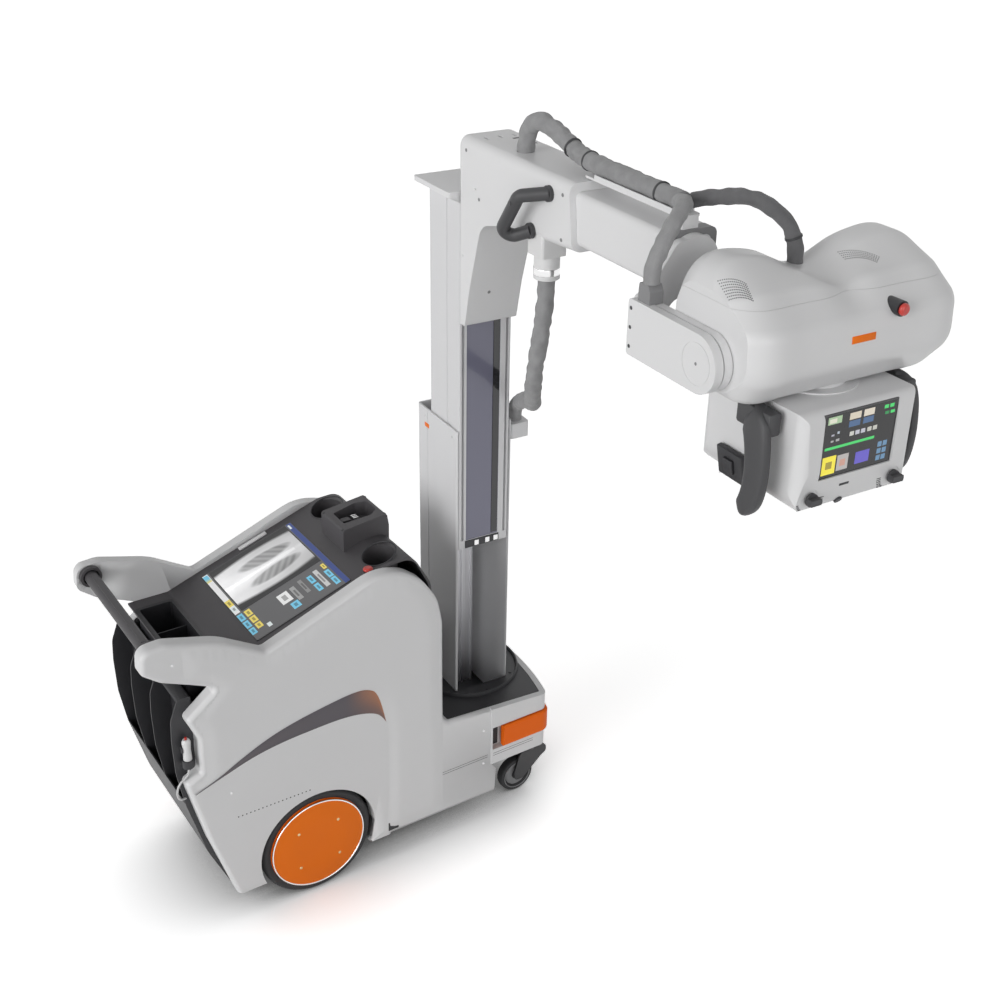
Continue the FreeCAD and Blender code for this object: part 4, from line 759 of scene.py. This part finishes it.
# %% Console trim
console_normal = console_point(0, 0, 1) - console_point(0, 0, 0)
console_rise = console_point(1, 0, 0) - console_point(0, 0, 0)
place = facing(console_point(183, 209, 0), console_normal, console_rise)
piece("console_clips", clip_white, "base", "white_plastic", add_block, [place], (0.013, 0.092, 0.005), 0.0015)

bm = bmesh.new()
for cup_y in (-157, 157):
    spot = base_point(275, cup_y, console_z + math.tan(slope) * (275 - console_x))
    add_ring(bm, facing(spot, console_normal), 0.0495, 0.0022, sides=64)
for x in (216, 350):
    for y in (-58, 58):
        place = facing(*land("head_dock", base_point(x, y, above), -up))
        add_disc(bm, place, 0.004, 0.001, sides=16, rounding=0.0004)
finish_piece("console_rings", bm, rack_black, "base")

bm = bmesh.new()
for y in (-8, 0, 8):
    add_block(bm, facing(base_point(284, y, 1045.5), up), (0.004, 0.016, 0.0016), 0.0004)
add_disc(bm, facing(base_point(306, 14, 1023.4), up), 0.007, 0.003, rounding=0.001)
finish_piece("dock_contacts", bm, chrome, "base")

# %% [markdown]
# The hand switch hangs at the near corner of the rack. On the real one a white body carries a red
# ring, a dark rocker and a grey boot where its lead leaves. The rocker faces the operator.

# %% Hand switch details
place = facing(base_point(switch_x, switch_y, 676.5), up)
piece("switch_ring", stop_red, "base", "red", add_ring, [place], 0.0072, 0.0012, sides=32)
place = facing(base_point(switch_x - 12, switch_y, 648), Vector((-1, 0, 0)))
piece("switch_rocker", rack_black, "base", "black_rack", add_block, [place], (0.010, 0.018, 0.004), 0.0018)
bm = bmesh.new()
for i in range(5):
    place = facing(base_point(switch_x, switch_y, 588 + 5 * i), up)
    add_ring(bm, place, 0.0102 + 0.0003 * i, 0.0012, sides=32)
finish_piece("switch_boot_ribs", bm, collar_grey, "base")

# %% [markdown]
# The column stands in a dark turntable. At its foot there are a black ring, a brass coupling and
# a small terminal box. The inner mast has a long strip window with a darker band and a clamp under
# it, and the slot in the guide behind the hose is a thin black strip of painted shade. Small screws
# hold the mast and the arm.

# %% Column details
bm = bmesh.new()
add_ring(bm, facing(column_point(0, 0, 411), up), 0.1685, 0.0022, sides=96)
for angle in range(0, 360, 45):
    a = math.radians(angle)
    place = facing(column_point(152 * math.cos(a), 152 * math.sin(a), 404), up)
    add_disc(bm, place, 0.005, 0.002, rounding=0.001)
finish_piece("turntable_ring", bm, rack_black, "column")

bm = bmesh.new()
add_disc(bm, facing(column_point(-30, -112, 404), up), 0.011, 0.020, sides=6, rounding=0.001)
add_disc(bm, facing(column_point(-30, -112, 424), up), 0.008, 0.018, rounding=0.001)
finish_piece("foot_coupling", bm, brass, "column")
place = facing(column_point(20, -112, 404), up, out)
piece("foot_terminal_box", collar_grey, "column", "grey_trim", add_block, [place],
      (0.030, 0.045, 0.030), 0.003)

place = facing(column_point(113.3, 37, 1430.5), out)
piece("window_band", dark_glass, "lift", "glass_black", add_block, [place], (0.020, 0.990, 0.0004))
place = facing(column_point(115, -5, 918), out)
piece("window_clamp", rack_black, "lift", "black_rack", add_block, [place], (0.112, 0.024, 0.0025), 0.0008)
places = [facing(column_point(117.5, w, 918), out) for w in (-24, 12, 40)]
piece("window_clamp_tongues", chrome, "lift", "steel", add_block, places, (0.014, 0.016, 0.002), 0.0006)
# Painted shade: a thin black strip on the guide stands for the dark inside of its slot.
place = facing(from_front("mast_guide", -25, 655)[0], out)
piece("guide_slot_shade", rack_black, "column", "black_rack", add_block, [place], (0.024, 0.490, 0.0010))

bm = bmesh.new()
for w in (-78, 78):
    for z in (1000, 1240):
        add_disc(bm, facing(*from_front("outer_mast", w, z)), 0.004, 0.001, rounding=0.0004)
for u in (-70, 90):
    add_disc(bm, facing(*from_left("outer_mast", u, 1262)), 0.0042, 0.001, rounding=0.0004)
finish_piece("mast_screws", bm, steel, "column")

place = facing(*seen_at("outer_mast", 427, 425))
piece("mast_plain_tab", orange_gloss, "column", "orange", add_block, [place], (0.026, 0.013, 0.0008), 0.0003)

# %% Arm details
places = [facing(*land("arm_outer_tube", column_point(u, 34, above), -up), out) for u in (208, 240, 272)]
piece("arm_top_slots", shadow_gap, "carriage", "dark_trim", add_block, places, (0.030, 0.008, 0.0004), 0.0001)

bm = bmesh.new()
for px, py in ((479, 199.7), (489, 292)):
    for name in ("arm_outer_tube", "carriage_skirt"):
        try:
            spot, normal = seen_at(name, px, py)
        except ValueError:
            continue
        add_disc(bm, facing(spot, normal), 0.0045, 0.001, rounding=0.0004)
        break
for u, z in ((150, 2080), (600, 2080), (600, 1975)):
    for side in (-1, 1):
        add_disc(bm, facing(*from_left("arm_outer_tube", u, z, side)), 0.0045, 0.001, rounding=0.0004)
finish_piece("arm_screws", bm, collar_grey, "carriage")

place = facing(column_point(480, -42, 1855), up)
piece("gland_band", chrome, "carriage", "steel", add_disc, [place], 0.0330, 0.016, sides=56, rounding=0.002)

places = [facing(column_point(u, w * 0.83, 2121.5), up) for u in (660, 780, 900) for w in (-24, 24)]
piece("rail_screws", steel, "arm_mid", "steel", add_disc, places, 0.0042, 0.0015, rounding=0.0006)

# %% Link details
places = [facing(column_point(994, -159.2, tilt_z + z), -across) for z in (-42, 0, 42)]
piece("link_screws", rack_black, "wrist", "black_rack", add_disc, places, 0.0044, 0.0012, rounding=0.0006)
place = facing(column_point(tilt_u, -160, tilt_z), -across)
piece("link_centre_mark", collar_grey, "wrist", "grey_trim", add_disc, [place], 0.0035, 0.0003)

# %% [markdown]
# The head is one soft moulding. Its vents are curved rows of small holes behind each lobe, drawn
# as grey discs whose colour is the painted shade inside the holes. The discs are found on the shell
# by looking along the photograph's own lines of sight, and the emergency button stands on a black
# cone. The name plate's place carries a plain orange plate.

# %% Head details
near_rows = [((718 + 1.6 * i, 281 + 2.7 * i), (734 + 1.2 * i, 276 + 2.7 * i), (746 + i, 284 + 2.4 * i), 15)
             for i in range(8)]
far_rows = [((838 + 1.8 * i, 252 + 1.8 * i), (858 + i, 247 + 2 * i), (879 - 0.6 * i, 257 + 1.3 * i), 19)
            for i in range(5)]
bm = bmesh.new()
for start, middle, end, count in near_rows + far_rows:
    for t in (i / (count - 1) for i in range(count)):
        px, py = (a * (1 - t) ** 2 + 2 * b * t * (1 - t) + c * t * t for a, b, c in zip(start, middle, end))
        try:
            place = facing(*seen_at("head_upper_shell", px, py))
        except ValueError:
            continue
        add_disc(bm, place, 0.0014, 0.0003, sides=8)
# Painted shade: the grey discs stand for the dark insides of the vent holes.
finish_piece("head_vents", bm, vent_hole_shade, "head")

spot, _ = from_front("head_lower_shell", 242, 2000)
reach = (column_point(1351, 242, 2000) - spot).dot(out)
place = facing(spot, out)
piece("stop_rose", rack_black, "head", "black_rack", add_disc, [place], 0.011, reach, small=0.0165,
      sink=0.006)

place = facing(*seen_at("head_lower_shell", 864, 338))
piece("head_plain_plate", orange_gloss, "head", "orange", add_block, [place], (0.062, 0.0155, 0.0012), 0.0004,
      sink=0.003)

# %% [markdown]
# The collimator's touch screen is drawn like the console's: a black page with pictures of
# equipment as plain tiles, a green bar, and blue keys. Below it are two knobs in engraved
# surrounds, a round button and a slot, and a black socket block is on its left side.

# %% Collimator screen
bm = bmesh.new()
tint = bm.verts.layers.float_color.new("tint")


def on_panel(s, t, height):
    """Panel measures: s from the left to the right seen from the front, t upwards."""
    return column_point(1369 + height, beam_w - 95 + s * 190, 1742 - 68 + t * 136)


green, dark_green, violet = (0.05, 0.50, 0.12), (0.02, 0.20, 0.06), (0.10, 0.08, 0.42)
add_picture(bm, tint, on_panel, 0.25, (0, 0), (1, 1), (0.012, 0.012, 0.013), (2, 2))
tiles = [(0.03, 0.86, 0.19, 0.12, (0.30, 0.42, 0.26)),
         (0.33, 0.86, 0.16, 0.11, (0.52, 0.47, 0.38)), (0.33, 0.74, 0.16, 0.10, (0.05, 0.10, 0.20)),
         (0.53, 0.86, 0.15, 0.11, (0.55, 0.50, 0.42)), (0.53, 0.74, 0.15, 0.10, (0.05, 0.10, 0.20)),
         (0.36, 0.59, 0.06, 0.07, (0.45, 0.45, 0.42)), (0.44, 0.59, 0.06, 0.07, (0.40, 0.40, 0.45)),
         (0.52, 0.59, 0.06, 0.07, (0.40, 0.40, 0.45)), (0.61, 0.59, 0.06, 0.07, (0.42, 0.42, 0.38)),
         (0.69, 0.59, 0.06, 0.07, (0.42, 0.42, 0.38)), (0.03, 0.44, 0.70, 0.045, green),
         (0.82, 0.90, 0.06, 0.06, green), (0.90, 0.90, 0.06, 0.06, green),
         (0.84, 0.80, 0.06, 0.05, dark_green), (0.92, 0.80, 0.06, 0.05, green),
         (0.02, 0.03, 0.19, 0.30, (0.72, 0.62, 0.05)), (0.23, 0.05, 0.16, 0.26, (0.36, 0.34, 0.33)),
         (0.49, 0.08, 0.20, 0.20, violet),
         (0.10, 0.66, 0.04, 0.03, (0.3, 0.3, 0.35)), (0.18, 0.68, 0.03, 0.04, (0.35, 0.4, 0.45)),
         (0.10, 0.56, 0.04, 0.03, (0.3, 0.3, 0.3)), (0.17, 0.56, 0.05, 0.04, (0.3, 0.3, 0.3))]
tiles += [(0.80 + 0.075 * i, 0.04 + 0.115 * k, 0.06, 0.085, (0.10, 0.20, 0.32))
          for i in range(2) for k in range(3)]
inner = [(0.05, 0.88, 0.10, 0.07, (0.55, 0.55, 0.45)), (0.07, 0.12, 0.09, 0.12, (0.28, 0.23, 0.03)),
         (0.27, 0.12, 0.08, 0.11, (0.45, 0.25, 0.20))]
for over, layer in ((0.4, tiles), (0.55, inner)):
    for s, t, width, height, color in layer:
        add_picture(bm, tint, on_panel, over, (s, t), (width, height), color)
finish_piece("collimator_screen_picture", bm, screen_picture, "collimator")

# %% Collimator controls
bm = bmesh.new()
add_disc(bm, facing(*from_front("collimator_body", 128, 1607)), 0.0095, 0.004, rounding=0.0015)
add_block(bm, facing(*from_front("collimator_body", 132, 1646)), (0.026, 0.0055, 0.0008), 0.0003)
spot, normal = from_left("collimator_body", 1178, 1640)
add_block(bm, facing(spot, normal), (0.082, 0.070, 0.014), 0.003)
add_block(bm, facing(spot + normal * 0.014, normal), (0.030, 0.034, 0.006), 0.002)
finish_piece("collimator_button_and_socket", bm, rack_black, "collimator")

bm = bmesh.new()
for w, start in ((43, 200), (267, 180)):
    for radius in (31, 37):
        for angle in range(start, start + 160, 8):
            a = math.radians(angle)
            across_by, up_by = radius * math.cos(a), radius * math.sin(a)
            try:
                place = facing(*from_front("collimator_body", w + across_by, 1632 + up_by))
            except ValueError:
                continue
            add_block(bm, place, (0.0058, 0.0020, 0.0003))
finish_piece("knob_surrounds", bm, shadow_gap, "collimator")

places = [facing(column_point(1178 + (z - 1640) * 0.9, -14.6, z), -across) for z in (1610, 1670, 1650)]
piece("socket_pins", chrome, "collimator", "steel", add_disc, places, 0.0026, 0.0008, sides=12)

# %% [markdown]
# The hoses are bundles of cable in crumpled cloth sleeves. Each follows a smooth NURBS line
# through the same route as its solid. Rings of points along that line are bridged, and each ring
# swells and shrinks a little, so that the cloth gathers where it bends. Each sleeve is baked into
# place and carried by no body; the mast's hose crosses two joints, so it is made in two halves.
# The hooked grips of the collimator are flat bars carried along a line in the same way.

# %% Sleeved hoses and hooked grips
def strap(bm, line, widths, thickness, sides=24):
    """A flat bar with rounded edges along a line; its width changes from end to end."""
    rings = []
    for i, point in enumerate(line):
        heading = (line[min(i + 1, len(line) - 1)] - line[max(i - 1, 0)]).normalized()
        share = i / (len(line) - 1) * (len(widths) - 1)
        k = min(int(share), len(widths) - 2)
        width = widths[k] + (widths[k + 1] - widths[k]) * (share - k)
        wide = heading.cross(across)
        wide = wide.normalized() if wide.length > 0.2 else -up.cross(heading).cross(heading).normalized()
        turn = Matrix((wide, heading.cross(wide), heading)).transposed().to_4x4()
        ring = bmesh.ops.create_circle(bm, segments=sides, radius=1)["verts"]
        for vert in ring:
            x, y = vert.co.x, vert.co.y
            wide_by = math.copysign(abs(x) ** 0.6, x) * width / 2
            thick_by = math.copysign(abs(y) ** 0.6, y) * thickness / 2
            vert.co = Matrix.Translation(point) @ turn @ Vector((wide_by, thick_by, 0))
        rings.append(list({e for v in ring for e in v.link_edges}))
    for low, high in zip(rings, rings[1:]):
        bmesh.ops.bridge_loops(bm, edges=low + high)
    for end in (rings[0], rings[-1]):
        bmesh.ops.contextual_create(bm, geom=end)


def sleeve(name, line, radius, material, body, sides=28, crumple=0.16, seed=0.0):
    """A tube along a line that swells and shrinks; its UVs are metres along and round the cloth."""
    bm = bmesh.new()
    uv = bm.loops.layers.uv.new("UVMap")
    distances = [0.0]
    for a, b in zip(line, line[1:]):
        distances.append(distances[-1] + (b - a).length)
    turn = (line[1] - line[0]).normalized().to_track_quat("Z", "Y")
    spots, rings = {}, []
    for i, (point, distance) in enumerate(zip(line, distances)):
        if i > 0:
            heading = (line[min(i + 1, len(line) - 1)] - line[i - 1]).normalized()
            turn = (turn @ up).rotation_difference(heading) @ turn
        ends = min(1.0, distance / 0.03, (distances[-1] - distance) / 0.03)
        gather = 0.5 + 0.5 * math.sin(distance * 190 + 3 * noise.noise(Vector((distance * 14, seed, 0))))
        ring = bmesh.ops.create_circle(bm, segments=sides, radius=radius)["verts"]
        for j, vert in enumerate(ring):
            angle = math.atan2(vert.co.y, vert.co.x)
            fold = noise.noise(Vector((distance * 42, math.cos(angle) * 1.3 + seed, math.sin(angle) * 1.3)))
            size = radius * (1 + crumple * ends * (0.9 * fold + 0.45 * gather - 0.25))
            vert.co = point + turn @ Vector((math.cos(angle) * size, math.sin(angle) * size, 0))
            spots[vert] = (i, j)
        rings.append(list({e for v in ring for e in v.link_edges}))
    for low, high in zip(rings, rings[1:]):
        bmesh.ops.bridge_loops(bm, edges=low + high)
    for face in bm.faces:
        columns = [spots[loop.vert][1] for loop in face.loops]
        wraps = max(columns) - min(columns) > 1
        for loop in face.loops:
            i, j = spots[loop.vert]
            j = sides if wraps and j == 0 else j
            loop[uv].uv = (distances[i], j / sides * math.tau * radius)
    for end in (rings[0], rings[-1]):
        bmesh.ops.contextual_create(bm, geom=end)
    return finish_piece(name, bm, material, body, crease=80)


def ties(name, line, radius, stations, body):
    """Narrow straps round a hose at these shares of its line."""
    places = []
    for share in stations:
        i = min(int(share * (len(line) - 1)), len(line) - 2)
        direction = line[i + 1] - line[i]
        for shift in (-0.0015, 0.0015):
            places.append(facing(line[i] + direction.normalized() * shift, direction))
    return piece(name, grip_dark, body, "dark_trim", add_ring, places, radius, 0.0016, sides=28, tube=8)


mast_points = [column_point(*p) for p in (
    (480, -42, 1842), (480, -42, 1776), (475, -50, 1690), (464, -56, 1610), (440, -46, 1540),
    (396, -18, 1480), (330, 24, 1436), (256, 62, 1404), (184, 94, 1376), (128, 111, 1346), (88, 120, 1318),
    (75, 121, 1290), (75, 121, 1267))]
arm_points = [column_point(*p) for p in (
    (330, -18, 2091), (330, -18, 2152), (366, -12, 2196), (420, 0, 2186), (474, 9, 2160), (540, 8, 2143),
    (620, 0, 2142), (780, -2, 2143), (936, -2, 2142))]
link_points = [column_point(*p) for p in (
    (943, -18.2, 2144), (968, -24, 2152), (1000, -46, 2158), (1026, -78, 2152), (1038, -108, 2126),
    (1036, -126, 2088), (1026, -136, 2052), (1026, -136, 2014))]
head_points = [column_point(*p) for p in (
    (944, 18.2, 2144), (970, 30, 2154), (1006, 54, 2164), (1044, 84, 2168), (1080, 114, 2154),
    (1106, 140, 2122), (1122, 155, 2078), (1122, 155, 2037))]


def length_of(line):
    return sum((b - a).length for a, b in zip(line, line[1:]))


def hose(name, line, radius, cloth_finish=hose_cloth, seed=0.0):
    """A sleeve along a line, baked into place and carried by no body."""
    skin = sleeve(name, line, radius, cloth_finish, None, seed=seed)
    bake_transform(skin)
    return skin


bm = bmesh.new()
for side, face_w in ((-1, -14), (1, 324)):
    grip_line = [column_point(u, face_w + side * reach, z) for u, reach, z in (
        (1262, 10, 1802), (1272, 27, 1796), (1290, 32, 1768), (1300, 33, 1720), (1302, 33, 1670),
        (1296, 33, 1626), (1280, 32, 1600), (1262, 26, 1588), (1250, 10, 1586))]
    strap(bm, route(grip_line, 6), (0.050, 0.074, 0.066, 0.062, 0.058, 0.046, 0.034), 0.027)
    top_block = facing(column_point(1268, face_w, 1790), across * side, up)
    add_block(bm, top_block, (0.104, 0.052, 0.030), 0.007, sink=0.004)
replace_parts(finish_piece("hooked_grips", bm, grip_dark, "collimator"), "collimator_grips")

mast_line, arm_line = route(mast_points, 14), route(arm_points, 14)
link_line, head_line = route(link_points, 14), route(head_points, 14)
half = len(mast_line) // 2
upper = hose("mast_hose_sleeve", mast_line[:half + 1], 0.0215, seed=1.0)
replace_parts(upper, "mast_hose")
hose("mast_hose_lower_sleeve", mast_line[half:], 0.0215, seed=4.0)
straps = ties("arm_hose_ties", arm_line, 0.0225, (0.55, 0.72, 0.97), "arm_mid")
skin = hose("arm_hose_sleeve", arm_line, 0.0215, seed=7.3)
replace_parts(skin, "arm_hose")
skin = hose("link_hose_sleeve", link_line, 0.0175, seed=14.6)
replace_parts(skin, "link_hose")
straps = ties("head_hose_ties", head_line, 0.0175, (0.86,), "head")
skin = hose("head_hose_sleeve", head_line, 0.0168, hose_cloth_dark, 21.9)
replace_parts(skin, "head_hose")
print("hoses", [round(length_of(line), 3) for line in (mast_line, arm_line, link_line, head_line)])

# %% Lead of the hand switch
lead_points = [base_point(*p) for p in (
    (switch_x, switch_y, 584), (-353, -240.5, 566), (-364, -241, 556), (-380, -241, 545), (-390, -241, 526),
    (-391, -240, 505), (-384, -236, 487), (-371, -226, 476), (-362, -219, 472))]
line = route(lead_points, 8)
lead = sleeve("switch_lead_cable", line, 0.003, lead_white, "base", sides=12, crumple=0.0)
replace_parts(lead, "switch_lead")
